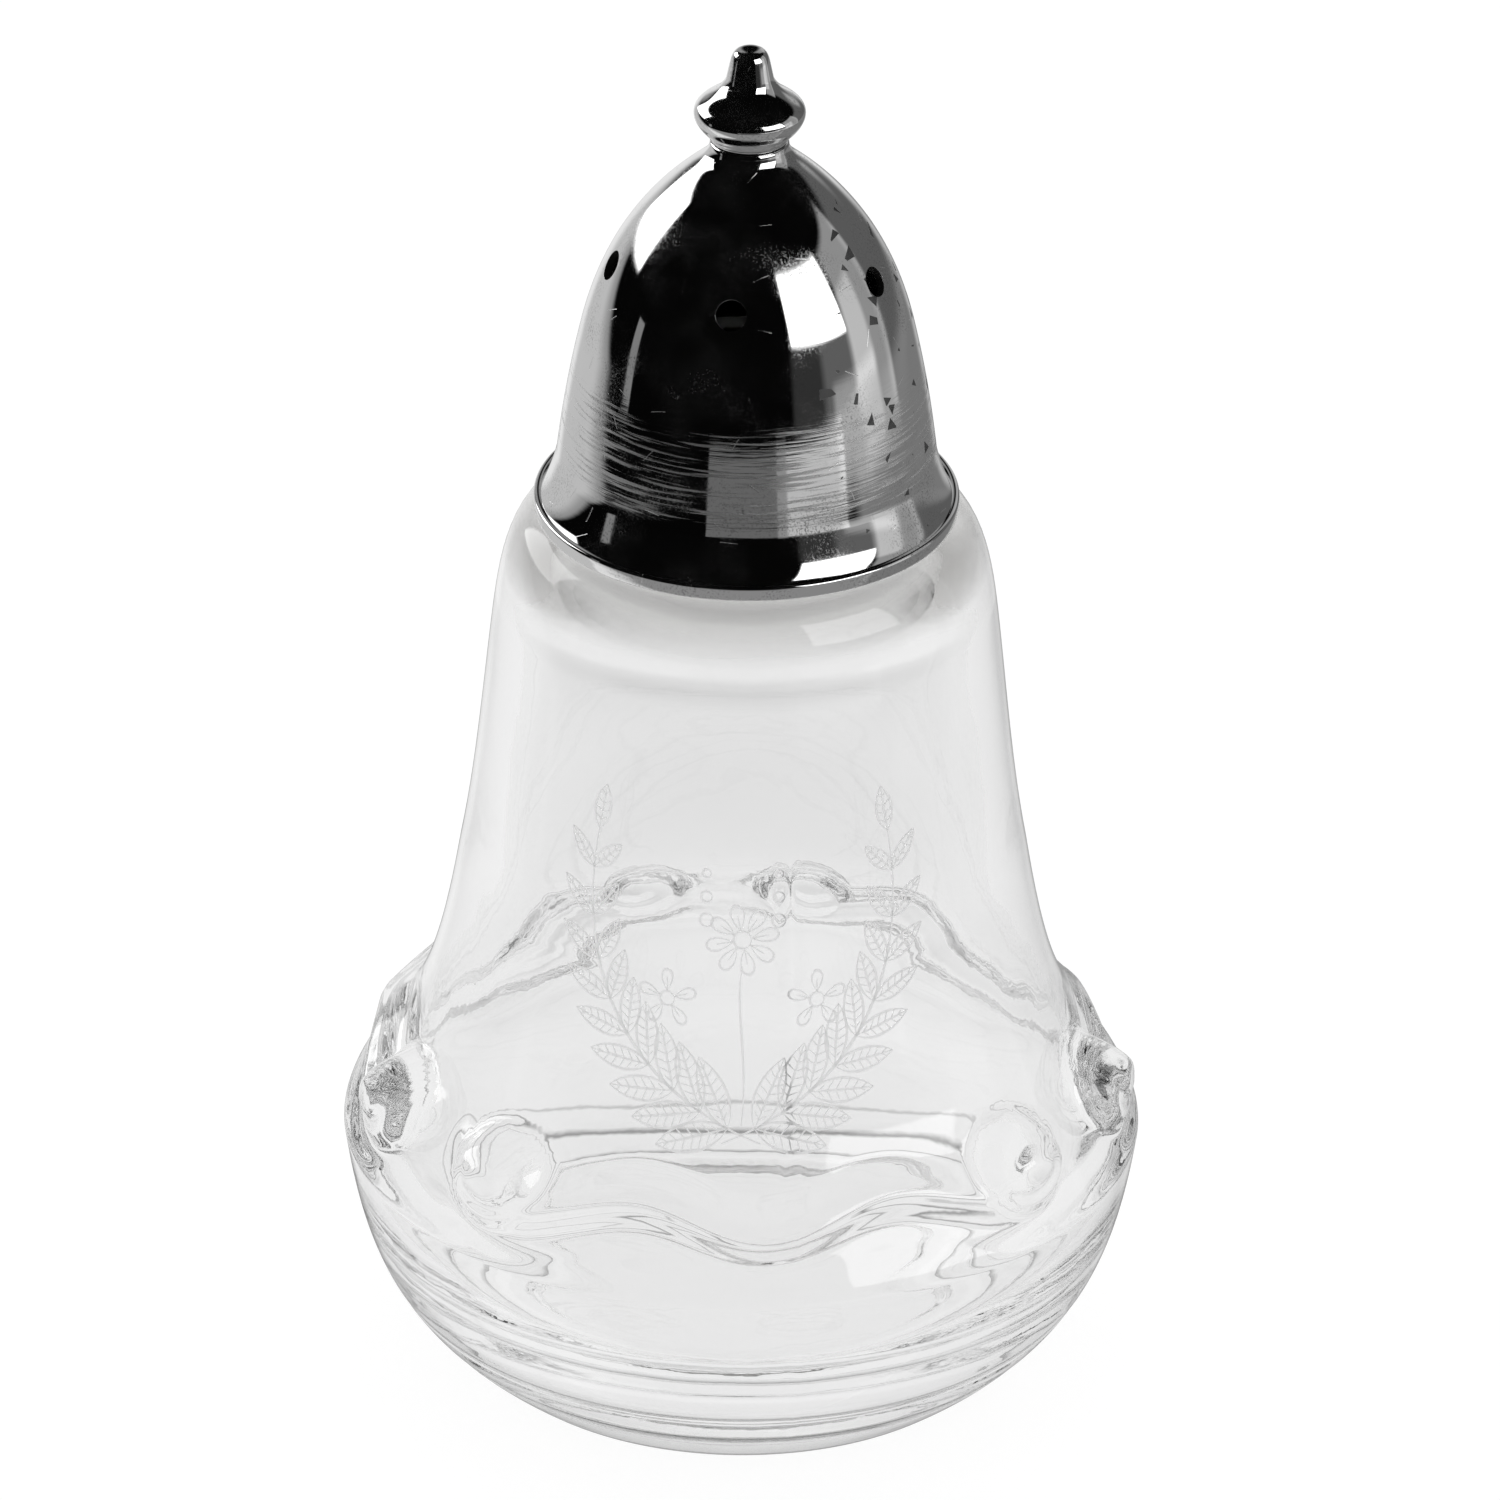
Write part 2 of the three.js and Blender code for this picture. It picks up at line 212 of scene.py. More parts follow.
def hand_over(
    piece: bpy.types.Object, materials: tuple[bpy.types.Material, ...], body: Body, slot: Slot,
    *nodes: str,
) -> None:
    """Dresses a piece, puts it on its body, hides the CAD nodes that it replaces, and logs it.

    Args:
        piece: The finished piece.
        materials: Its materials.
        body: The body it rides on.
        slot: Not used.
        nodes: The CAD nodes that it replaces.
    """
    for material in materials:
        piece.data.materials.append(material)
    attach(piece, body.value)
    if nodes:
        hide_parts(*nodes)
    log.info("%s: %d faces on %s", piece.name, len(piece.data.polygons), body.value)


@dataclass(frozen=True)
class Thread:
    """A right-hand screw thread, raised from a cylinder or, where depth is negative, sunk in."""

    pitch: float
    depth: float
    foot: float
    crest: float
    zero_height: float
    first_height: float
    last_height: float
    taper: float = 0.7

    def proud(self, turns: float, height: float) -> float:
        """How far the thread stands from its cylinder at a place.

        Args:
            turns: The angle from the front, in turns.
            height: The height in millimetres.

        Returns:
            The distance in millimetres.
        """
        passes = round((height - self.zero_height) / self.pitch - turns)
        middle = self.zero_height + (turns + passes) * self.pitch
        flank = (self.foot - self.crest) / 2
        rise = smooth_step((self.foot / 2 - abs(height - middle)) / flank)
        start = smooth_step((middle - self.first_height) / self.taper + 0.5)
        end = smooth_step((self.last_height - middle) / self.taper + 0.5)
        return self.depth * rise * start * end

    def cut(self, mesh: bmesh.types.BMesh, low: float, high: float, radius: float) -> None:
        """Moves the vertices of a turned mesh that lie near a radius out by the thread.

        Args:
            mesh: The mesh in millimetres.
            low: The lowest height that is touched.
            high: The highest height that is touched.
            radius: The radius of the cylinder that carries the thread.
        """
        for vert in mesh.verts:
            reach = math.hypot(vert.co.x, vert.co.y)
            if low < vert.co.z < high and abs(reach - radius) < NEAR_MM:
                turns = math.atan2(vert.co.x, -vert.co.y) / (2 * math.pi)
                scale = (reach + self.proud(turns, vert.co.z)) / reach
                vert.co.x *= scale
                vert.co.y *= scale


class Nodes:
    """A node tree that is being wired."""

    def __init__(self, tree: bpy.types.NodeTree) -> None:
        """Starts on an emptied tree."""
        self.tree = tree
        tree.nodes.clear()

    def add(self, kind: str, links: dict | None = None, **settings: object) -> bpy.types.Node:
        """Adds a node, with its settings and inputs.

        Args:
            kind: The node's type without the ShaderNode prefix.
            links: What its inputs take, by name or number: a value, an output, or a node, which
                stands for its first output in use.
            settings: The node's own properties.

        Returns:
            The node.
        """
        node = self.tree.nodes.new("ShaderNode" + kind)
        for key, value in settings.items():
            setattr(node, key, value)
        for key, value in (links or {}).items():
            if isinstance(value, bpy.types.Node):
                value = next(output for output in value.outputs if output.enabled)
            if isinstance(value, bpy.types.NodeSocket):
                self.tree.links.new(value, node.inputs[key])
            else:
                node.inputs[key].default_value = value
        return node


def linear(hex_colour: str) -> tuple[float, float, float, float]:
    """Turns an sRGB hex colour into the linear colour that shaders take.

    Args:
        hex_colour: Six hex digits after a hash.

    Returns:
        Red, green, blue and an alpha of 1.
    """
    parts = [int(hex_colour[i : i + 2], 16) / 255 for i in (1, 3, 5)]
    return (*[c / 12.92 if c <= 0.04045 else ((c + 0.055) / 1.055) ** 2.4 for c in parts], 1.0)


def new_material(name: str) -> tuple[bpy.types.Material, Nodes, bpy.types.NodeSocket]:
    """Makes an empty node material.

    Args:
        name: The material's name.

    Returns:
        The material, its node tree and the place on the object, in metres.
    """
    material = bpy.data.materials.new(name)
    material.use_nodes = True
    nodes = Nodes(material.node_tree)
    return material, nodes, nodes.add("TexCoord").outputs["Object"]


@dataclass(frozen=True)
class PressedGlass:
    """Clear soda-lime glass, pressed and fire polished: no grain, only the mould's soft waves.

    The neck, which the brass rubs and salt gets at, is dulled to a blooming grey, and its lip is
    painted near black as painted shade for the shade inside the closed lid, so that it lets no
    light in. The same grey is painted on the shoulder as painted shade for its dark reflections.
    The foot's joint lines hold bands of a dusting with painted shade, and the lowest band is a
    painted contact shadow. Each band has a height, a half width and an amount.
    """

    tint: str = "#fbfbfb"
    # grey of the neck's wear, also painted on the shoulder as painted shade for its dark
    # reflections
    bloom_and_shade_grey: str = "#9c9b98"
    # near black painted shade on the neck's lip, for the shade inside the closed lid
    painted_lip_shade: str = "#010101"
    # grey of the foot's dark bands: a dusting with painted shade, and a painted contact shadow
    dust_and_shade_grey: str = "#4a4a4a"
    wave_mm: float = 7.0
    chill_mm: float = 1.6
    bloom_mm: float = 57.9
    bloom_amount: float = 0.9
    bloom_roughness: float = 0.2
    # height where the lip's painted shade starts
    painted_lip_shade_mm: float = 62.3
    edge_mm: float = 0.8
    # the shoulder's grey band is painted shade
    shoulder_shade_mm: float = 53.8
    shoulder_shade_rise_mm: float = 2.6
    shoulder_shade_amount: float = 0.75
    # the lowest band is a painted contact shadow
    dark_bands_mm: tuple[tuple[float, float, float], ...] = (
        (3.1, 0.55, 0.95), (5.7, 0.3, 0.6), (0.35, 0.5, 0.85),
    )
    dark_bands_from_mm: float = 17.0

    def material(self) -> bpy.types.Material:
        """Makes the glass, with slow waves and finer chill marks as its bump.

        Returns:
            The material.
        """
        material, nodes, place_at = new_material("pressed_glass")
        slow, fine = [
            nodes.add("TexNoise", {"Vector": place_at, "Scale": 1 / (size * MM), "Detail": detail})
            for size, detail in ((self.wave_mm, 1.0), (self.chill_mm, 2.0))
        ]
        soft = nodes.add("Bump", {"Height": slow, "Strength": 0.25, "Distance": 0.3 * MM})
        rippled = nodes.add(
            "Bump", {"Height": fine, "Strength": 0.1, "Distance": 0.06 * MM, "Normal": soft}
        )
        rise = nodes.add("SeparateXYZ", {"Vector": place_at}).outputs["Z"]
        neck, lip, greying = [
            nodes.add(
                "MapRange",
                {"Value": rise, "From Min": low * MM, "From Max": (low + fade) * MM,
                 "To Max": amount},
            )
            for low, fade, amount in (
                (self.bloom_mm, self.edge_mm, self.bloom_amount),
                (self.painted_lip_shade_mm, self.edge_mm, 1.0),
                (self.shoulder_shade_mm, self.shoulder_shade_rise_mm, self.shoulder_shade_amount),
            )
        ]
        worn = nodes.add("Math", {0: neck, 1: fine, 2: 0.35}, operation="MULTIPLY_ADD")
        dulled = nodes.add("Math", {0: neck, 1: worn}, operation="MULTIPLY")
        # the neck's worn grey joined with the shoulder's painted shade
        bloom_and_shade_mask = nodes.add("Math", {0: dulled, 1: greying}, operation="MAXIMUM")
        dust_and_shade = self._dust_and_shade(nodes, place_at, rise)
        colour = linear(self.tint)
        # the lip and shoulder are painted shade, and the foot's bands are a dusting with painted
        # shade
        for mask, shade in ((bloom_and_shade_mask, self.bloom_and_shade_grey), (lip, self.painted_lip_shade), (dust_and_shade, self.dust_and_shade_grey)):
            colour = nodes.add(
                "Mix", {"Factor": mask, 6: colour, 7: linear(shade)}, data_type="RGBA"
            )
        rough = nodes.add("MapRange", {"Value": dulled, "To Max": self.bloom_roughness})
        shader = nodes.add(
            "BsdfPrincipled",
            {"Base Color": colour, "Roughness": rough, "IOR": 1.52, "Transmission Weight": 1.0,
             "Normal": rippled},
        )
        nodes.add("OutputMaterial", {"Surface": shader})
        return material

    def _dust_and_shade(self, nodes: Nodes, place_at: Wire, rise: Wire) -> Wire:
        """Dark bands round the outside of the foot: a dusting in its joint lines with painted
        shade, and a painted contact shadow at its bottom edge.

        Args:
            nodes: The tree.
            place_at: The place on the object.
            rise: Its height.

        Returns:
            How dark each place is painted.
        """
        flat = nodes.add("VectorMath", {0: place_at, 1: (1, 1, 0)}, operation="MULTIPLY")
        reach = nodes.add("VectorMath", {0: flat}, operation="LENGTH")
        outer = nodes.add(
            "Math", {0: reach, 1: self.dark_bands_from_mm * MM}, operation="GREATER_THAN"
        )
        total: Wire = 0.0
        for height_mm, half_mm, amount in self.dark_bands_mm:
            above = nodes.add("Math", {0: rise, 1: height_mm * MM}, operation="SUBTRACT")
            off = nodes.add("Math", {0: above}, operation="ABSOLUTE")
            band = nodes.add(
                "MapRange",
                {"Value": off, "From Min": half_mm * MM, "From Max": 0.0, "To Max": amount},
                interpolation_type="SMOOTHSTEP",
            )
            total = nodes.add("Math", {0: band, 1: total}, operation="ADD")
        return nodes.add("Math", {0: total, 1: outer}, operation="MULTIPLY")


@dataclass(frozen=True)
class EtchedFrost:
    """Glass frosted by acid through a stencil: a fine even roughness that looks pale and soft.

    Half of it scatters light instead of passing it, and its index is lower than clear glass's,
    as that of a loose surface is, so that the lines stay pale against the jar.
    """

    white: str = "#ffffff"
    grain_mm: float = 0.25
    index: float = 1.28
    clear: float = 0.5

    def material(self) -> bpy.types.Material:
        """Makes the frost. Its real grain is 0.02 mm, drawn coarser here so that it shows.

        Returns:
            The material.
        """
        material, nodes, place_at = new_material("etched_frost")
        grain = nodes.add(
            "TexNoise", {"Vector": place_at, "Scale": 1 / (self.grain_mm * MM), "Detail": 2.0}
        )
        rough = nodes.add("MapRange", {"Value": grain, "To Min": 0.45, "To Max": 0.75})
        shader = nodes.add(
            "BsdfPrincipled",
            {"Base Color": linear(self.white), "Roughness": rough, "IOR": self.index,
             "Transmission Weight": self.clear},
        )
        nodes.add("OutputMaterial", {"Surface": shader})
        return material


@dataclass(frozen=True)
class SilverPlate:
    """Silver plate on drawn brass, buffed on a lathe and worn by hand polishing."""

    silver: str = "#eeeeee"
    greying: str = "#a9a9a9"
    tarnish: str = "#6a6a6a"
    polish: float = 0.03
    haze_mm: float = 4.0
    grit_mm: float = 0.13
    wave_mm: float = 6.0
    buff_line_mm: float = 0.2
    buff_length_mm: float = 5.0
    buff_top_mm: float = 69.0
    buff_bottom_mm: float = 61.4
    scratch_cell_mm: float = 2.2
    scratch_length_mm: float = 1.1
    scratch_width_mm: float = 0.05
    fleck_cell_mm: float = 1.2
    fleck_mm: float = 0.64

    def material(self) -> bpy.types.Material:
        """Makes the plate: a mirror with buffing lines round it, haze, scratches and flecks.

        The scratches are really about 0.01 mm wide and the buffing lines 0.02 mm, drawn coarser
        here so that they show.

        Returns:
            The material.
        """
        material, nodes, place_at = new_material("silver_plate")
        lines, streaks = self._buffing(nodes, place_at)
        scratches = self._scratches(nodes, place_at)
        flecks = self._flecks(nodes, place_at)
        cloud, grit, waves = [
            nodes.add("TexNoise", {"Vector": place_at, "Scale": 1 / (size * MM), "Detail": detail})
            for size, detail in ((self.haze_mm, 3.0), (self.grit_mm, 3.0), (self.wave_mm, 0.5))
        ]
        haze = nodes.add("MapRange", {"Value": cloud, "From Min": 0.44, "From Max": 0.7})
        specks = nodes.add("MapRange", {"Value": grit, "From Min": 0.5, "From Max": 0.68})
        dusted = nodes.add("Math", {0: haze, 1: specks}, operation="MULTIPLY")
        rough: Wire = self.polish
        for mask, amount in (
            (haze, 0.07), (dusted, 0.24), (streaks, 0.34), (scratches, 0.15), (flecks, 0.3)
        ):
            rough = nodes.add("Math", {0: mask, 1: amount, 2: rough}, operation="MULTIPLY_ADD")
        colour = linear(self.silver)
        for mask, shade in ((dusted, self.greying), (flecks, self.tarnish)):
            colour = nodes.add(
                "Mix", {"Factor": mask, 6: colour, 7: linear(shade)}, data_type="RGBA"
            )
        normal = nodes.add("Bump", {"Height": waves, "Strength": 0.3, "Distance": 0.05 * MM})
        for height, depth_mm in ((lines, 0.014), (scratches, -0.012), (flecks, -0.02)):
            normal = nodes.add(
                "Bump",
                {"Height": height, "Strength": 0.4, "Distance": abs(depth_mm) * MM,
                 "Normal": normal},
                invert=depth_mm < 0,
            )
        shader = nodes.add(
            "BsdfPrincipled",
            {"Base Color": colour, "Metallic": 1.0, "Roughness": rough, "Normal": normal},
        )
        nodes.add("OutputMaterial", {"Surface": shader})
        return material

    def _buffing(self, nodes: Nodes, place_at: Wire) -> tuple[Wire, Wire]:
        """Fine lines round the axis, broken up along their length and strongest low on the dome.

        Args:
            nodes: The tree.
            place_at: The place on the object.

        Returns:
            The lines' height, and a mask of the streaks that they dull.
        """
        along = 1 / (self.buff_length_mm * MM)
        across = 1 / (self.buff_line_mm * MM)
        squeezed = nodes.add("Mapping", {"Vector": place_at, "Scale": (along, along, across)})
        grooves = nodes.add("TexNoise", {"Vector": squeezed, "Scale": 1.0, "Detail": 3.0})
        rise = nodes.add("SeparateXYZ", {"Vector": place_at}).outputs["Z"]
        low, wall = [
            nodes.add(
                "MapRange",
                {"Value": rise, "From Min": start * MM, "From Max": end * MM, "To Min": least},
            )
            for start, end, least in (
                (self.buff_top_mm, self.buff_top_mm - 1.5, 0.1),
                (self.buff_bottom_mm - 0.4, self.buff_bottom_mm + 0.4, 0.2),
            )
        ]
        kept = nodes.add("Math", {0: low, 1: wall}, operation="MULTIPLY")
        height = nodes.add("Math", {0: grooves, 1: kept}, operation="MULTIPLY")
        streaks = nodes.add("MapRange", {"Value": height, "From Min": 0.5, "From Max": 0.62})
        return height, streaks

    def _cells(self, nodes: Nodes, place_at: Wire, size_mm: float) -> tuple[Wire, Wire]:
        """Scatters points, and says for each place where the nearest one lies.

        Args:
            nodes: The tree.
            place_at: The place on the object.
            size_mm: How far apart the points are.

        Returns:
            The way from the nearest point, in metres, and that point's random colour.
        """
        cells = nodes.add("TexVoronoi", {"Vector": place_at, "Scale": 1 / (size_mm * MM)})
        away = nodes.add(
            "VectorMath", {0: place_at, 1: cells.outputs["Position"]}, operation="SUBTRACT"
        )
        return away, cells.outputs["Color"]

    def _scratches(self, nodes: Nodes, place_at: Wire) -> Wire:
        """Short straight scratches in any direction.

        Args:
            nodes: The tree.
            place_at: The place on the object.

        Returns:
            1 on a scratch and 0 off it.
        """
        away, colour = self._cells(nodes, place_at, self.scratch_cell_mm)
        centred = nodes.add("VectorMath", {0: colour, 1: (0.5, 0.5, 0.5)}, operation="SUBTRACT")
        across = nodes.add("VectorMath", {0: centred}, operation="NORMALIZE")
        aside = nodes.add("VectorMath", {0: away, 1: across}, operation="DOT_PRODUCT")
        off = nodes.add("Math", {0: aside}, operation="ABSOLUTE")
        hair = nodes.add(
            "MapRange",
            {"Value": off, "From Min": self.scratch_width_mm / 2 * MM,
             "From Max": self.scratch_width_mm / 4 * MM},
        )
        far = nodes.add("VectorMath", {0: away}, operation="LENGTH")
        within = nodes.add(
            "Math", {0: far, 1: self.scratch_length_mm / 2 * MM}, operation="LESS_THAN"
        )
        return nodes.add("Math", {0: hair, 1: within}, operation="MULTIPLY")

    def _flecks(self, nodes: Nodes, place_at: Wire) -> Wire:
        """Small three-cornered tarnish flecks, mostly on the right of the dome and high on it.

        Each fleck is where the surface cuts a small turned solid of four faces.

        Args:
            nodes: The tree.
            place_at: The place on the object.

        Returns:
            1 on a fleck and 0 off it.
        """
        away, colour = self._cells(nodes, place_at, self.fleck_cell_mm)
        turn = nodes.add("VectorMath", {0: colour, "Scale": 4 * math.pi}, operation="SCALE")
        turned = nodes.add(
            "VectorRotate", {"Vector": away, "Rotation": turn}, rotation_type="EULER_XYZ"
        )
        widest: Wire = -1.0
        for facing in ((1.3, 0.5, 0.4), (0.4, -0.9, -0.6), (-0.7, 0.8, -0.5), (-0.6, -0.5, 0.9)):
            side = nodes.add("VectorMath", {0: turned, 1: facing}, operation="DOT_PRODUCT")
            widest = nodes.add("Math", {0: side, 1: widest}, operation="MAXIMUM")
        split = nodes.add("SeparateXYZ", {"Vector": place_at})
        rarity, higher = [
            nodes.add(
                "MapRange",
                {"Value": split.outputs[axis], "From Min": start * MM, "From Max": end * MM,
                 "To Min": least, "To Max": most},
            )
            for axis, start, end, least, most in (
                ("X", 2.5, 6.5, 0.05, 0.62), ("Z", 62.0, 67.0, 0.35, 1.0)
            )
        ]
        common = nodes.add("Math", {0: rarity, 1: higher}, operation="MULTIPLY")
        chance = nodes.add("SeparateColor", {"Color": colour}).outputs["Red"]
        size = nodes.add("Math", {0: common, 1: chance}, operation="SUBTRACT")
        reach = nodes.add(
            "MapRange", {"Value": size, "From Max": 0.3, "To Max": self.fleck_mm / 2 * MM}
        )
        return nodes.add("Math", {0: widest, 1: reach}, operation="LESS_THAN")


@dataclass(frozen=True)
class TarnishAndShadeInside:
    """The inside of the lid's sheet: never polished, tarnished by damp salt, and painted near
    black as painted shade for the shade inside the closed lid.
    """

    # near black: tarnish with painted shade for the inside of the closed lid
    black: str = "#201f1e"
    roughness: float = 0.6
    metallic: float = 0.6

    def material(self) -> bpy.types.Material:
        """Makes the dark metal: tarnish with painted shade.

        Returns:
            The material.
        """
        material, nodes, _ = new_material("tarnish_and_shade_inside")
        shader = nodes.add(
            "BsdfPrincipled",
            {"Base Color": linear(self.black), "Metallic": self.metallic,
             "Roughness": self.roughness},
        )
        nodes.add("OutputMaterial", {"Surface": shader})
        return material


@dataclass(frozen=True)
class BareBrass:
    """Sheet brass left unplated: dull yellow, darker where it is never rubbed."""

    brass: str = "#97896c"
    dulled: str = "#544c3e"
    patch_mm: float = 1.8
    grain_mm: float = 0.1

    def material(self) -> bpy.types.Material:
        """Makes the brass, with patches of tarnish and a drawn grain.

        Returns:
            The material.
        """
        material, nodes, place_at = new_material("bare_brass")
        patches, grain = [
            nodes.add("TexNoise", {"Vector": place_at, "Scale": 1 / (size * MM), "Detail": detail})
            for size, detail in ((self.patch_mm, 5.0), (self.grain_mm, 2.0))
        ]
        colour = nodes.add(
            "Mix", {"Factor": patches, 6: linear(self.brass), 7: linear(self.dulled)},
            data_type="RGBA",
        )
        rough = nodes.add("MapRange", {"Value": patches, "To Min": 0.25, "To Max": 0.5})
        drawn = nodes.add("Bump", {"Height": grain, "Strength": 0.2, "Distance": 0.01 * MM})
        shader = nodes.add(
            "BsdfPrincipled",
            {"Base Color": colour, "Metallic": 1.0, "Roughness": rough, "Normal": drawn},
        )
        nodes.add("OutputMaterial", {"Surface": shader})
        return material


@dataclass
class GlassJar:
    """The pressed jar: foot, bowl, scroll ridge, waisted body, shoulder, neck and hollow.

    Its moulding repeats in units round the waist. Each has a wavy ridge, leaning out a little
    towards one side of the jar, that ends in a knob with a ringed scroll on either hand.
    """

    foot_radius: float = 16.6
    foot_ring_width: float = 3.2
    foot_recess: float = 0.8
    foot_edge: float = 0.12
    groove_height: float = 3.1
    groove_depth: float = 0.25
    crease_height: float = 5.7
    crease_depth: float = 0.12
    score_half_width: float = 0.45
    belly_radius: float = 24.75
    belly_height: float = 15.0
    slope_radius: float = 20.3
    slope_height: float = 23.2
    waist_radius: float = 17.5
    waist_height: float = 34.2
    shoulder_radius: float = 15.5
    shoulder_height: float = 50.2
    seat_height: float = 57.5
    seat_radius: float = 12.4
    neck_radius: float = 8.61
    neck_top: float = 66.3
    bore_radius: float = 6.51
    lip_round: float = 0.6
    wall: float = 2.5
    floor_thickness: float = 4.6
    units: int = 3
    unit_turn_deg: float = 4.0
    ridge_height: float = 20.0
    ridge_wave: float = 0.8
    ridge_proud: float = 0.85
    ridge_lean: float = 0.35
    ridge_lean_deg: float = -105.0
    ridge_half_width: float = 2.125
    crest_share: float = 0.26
    crest_half_width: float = 0.75
    channel_share: float = 0.16
    channel_drop: float = 2.3
    channel_half_width: float = 1.1
    ridge_reach: float = 5.0
    lobe_angle_deg: float = 45.0
    lobe_spread_deg: float = 14.0
    lobe_dip: float = 0.4
    lobe_height: float = 19.8
    lobe_inset: float = 0.1
    lobe_half_width: float = 3.6
    lobe_half_height: float = 3.1
    scroll_depth: float = 0.3
    scroll_ring: float = 0.5
    scroll_half_width: float = 0.22
    scroll_off: Point = (0.1, -0.15)
    seam_deg: float = 8.75
    seam_proud: float = 0.05
    seam_half_width: float = 0.42
    seam_top: float = 49.0
    seam_fade: float = 4.0
    thread: Thread = Thread(
        pitch=PITCH_MM, depth=0.9, foot=1.7, crest=0.8, zero_height=59.6, first_height=59.6,
        last_height=64.65,
    )
    thread_margin: float = 0.7
    sharp_deg: float = 70.0
    steps: int = 288

    def side(self) -> Outline:
        """Draws the plain side, with the mould's two joint lines in it.

        Returns:
            The side from the foot up to the shoulder.
        """
        reach = self.belly_radius - self.foot_radius
        bowl = [(self.foot_radius, 0.0)] + curve(
            (self.foot_radius, 0.0),
            (self.foot_radius + 0.68 * reach, 0.28 * self.belly_height),
            (self.belly_radius - 0.13 * reach, 0.5 * self.belly_height),
            (self.belly_radius, self.belly_height), 70,
        )
        lines = (
            (self.groove_height, self.groove_depth),
            (self.crease_height, self.crease_depth),
        )
        scored = [
            (
                radius - sum(
                    depth * bump((height - at) / self.score_half_width) for at, depth in lines
                ),
                height,
            )
            for radius, height in bowl
        ]
        slope = curve(
            (self.belly_radius, self.belly_height),
            (self.belly_radius, self.belly_height + 1.5),
            (self.slope_radius + 1.6, self.slope_height - 3.2),
            (self.slope_radius, self.slope_height), 46,
        )
        throat = curve(
            (self.slope_radius, self.slope_height),
            (self.slope_radius - 1.4, self.slope_height + 2.8),
            (self.waist_radius + 0.6, self.waist_height - 3.7),
            (self.waist_radius, self.waist_height), 24,
        )
        column = curve(
            (self.waist_radius, self.waist_height),
            (self.waist_radius - 1.0, self.waist_height + 5.3),
            (self.shoulder_radius + 0.6, self.shoulder_height - 5.2),
            (self.shoulder_radius, self.shoulder_height), 14,
        )
        return scored + slope + throat + column

    def under_foot(self) -> Outline:
        """Draws the underside.

        Returns:
            The way from the axis out over the recess to the foot ring's flat.
        """
        inner = self.foot_radius - self.foot_ring_width
        recess_edge = (inner - 1.3, self.foot_recess)
        flat_start = (inner + 0.4, 0.0)
        return (
            [(0.0, self.foot_recess)]
            + line((0.0, self.foot_recess), recess_edge, 4)
            + curve(
                recess_edge, (inner - 0.5, self.foot_recess), (inner - 0.4, 0.0), flat_start, 6
            )
            + line(flat_start, (self.foot_radius - 0.35, 0.0), 2)
        )

    def neck(self) -> Outline:
        """Draws the seat and the neck.

        Returns:
            The way from the shoulder over the seat, up the neck's outside and over its lip.
        """
        seat = (self.seat_radius, self.seat_height)
        root = (self.neck_radius + 0.6, self.seat_height)
        low = (self.neck_radius, self.seat_height + 0.6)
        high = (self.neck_radius, self.neck_top - self.lip_round)
        lip_out = (self.neck_radius - self.lip_round, self.neck_top)
        lip_in = (self.bore_radius + self.lip_round, self.neck_top)
        return (
            curve(
                (self.shoulder_radius, self.shoulder_height),
                (self.shoulder_radius - 0.4, self.shoulder_height + 3.4),
                (self.shoulder_radius - 0.9, self.seat_height - 0.9), seat, 14,
            )
            + line(seat, root, 2)
            + curve(root, (self.neck_radius + 0.2, self.seat_height),
                    (self.neck_radius, self.seat_height + 0.2), low, 4)
            + line(low, high, 48)
            + curve(high, (self.neck_radius, self.neck_top - 0.2),
                    (self.neck_radius - 0.2, self.neck_top), lip_out, 5)
            + line(lip_out, lip_in)
            + curve(lip_in, (self.bore_radius + 0.2, self.neck_top),
                    (self.bore_radius, self.neck_top - 0.2),
                    (self.bore_radius, self.neck_top - self.lip_round), 5)
        )

    def hollow(self) -> Outline:
        """Draws the inside of the jar.

        Returns:
            The way from the bore down to the axis on the jar's floor.
        """
        inner_shoulder = self.seat_height - self.wall - 1
        bore_foot = (self.bore_radius, self.seat_height)
        shoulder = (self.shoulder_radius - self.wall, self.shoulder_height)
        waist = (self.waist_radius - self.wall, self.waist_height)
        belly = (self.belly_radius - self.wall - 0.3, self.belly_height)
        corner = (self.foot_radius - self.wall - 2, self.floor_thickness)
        return (
            line((self.bore_radius, self.neck_top - self.lip_round), bore_foot, 5)
            + curve(bore_foot, (self.bore_radius, inner_shoulder),
                    (shoulder[0] - 0.3, inner_shoulder), shoulder, 12)
            + curve(shoulder, (shoulder[0] + 0.7, shoulder[1] - 5.5),
                    (waist[0] - 0.55, waist[1] + 5.5), waist, 10)
            + curve(waist, (self.slope_radius - self.wall - 0.9, self.slope_height + 0.3),
                    (belly[0] - 0.3, self.belly_height + 3.5), belly, 18)
            + curve(belly, (belly[0] + 0.3, self.belly_height - 5.5),
                    (corner[0] + 5.5, self.floor_thickness), corner, 16)
            + line(corner, (0.0, self.floor_thickness), 4)
        )

    def crest_height(self, angle_deg: float) -> float:
        """Follows the wave of the ridge.

        Args:
            angle_deg: The angle from the middle of the ridge's unit.

        Returns:
            The height of its crest there.
        """
        wave = self.ridge_wave * math.cos(math.radians(3 * self.units * angle_deg))
        lobe = bump((abs(angle_deg) - self.lobe_angle_deg) / self.lobe_spread_deg)
        return self.ridge_height - wave - self.lobe_dip * lobe

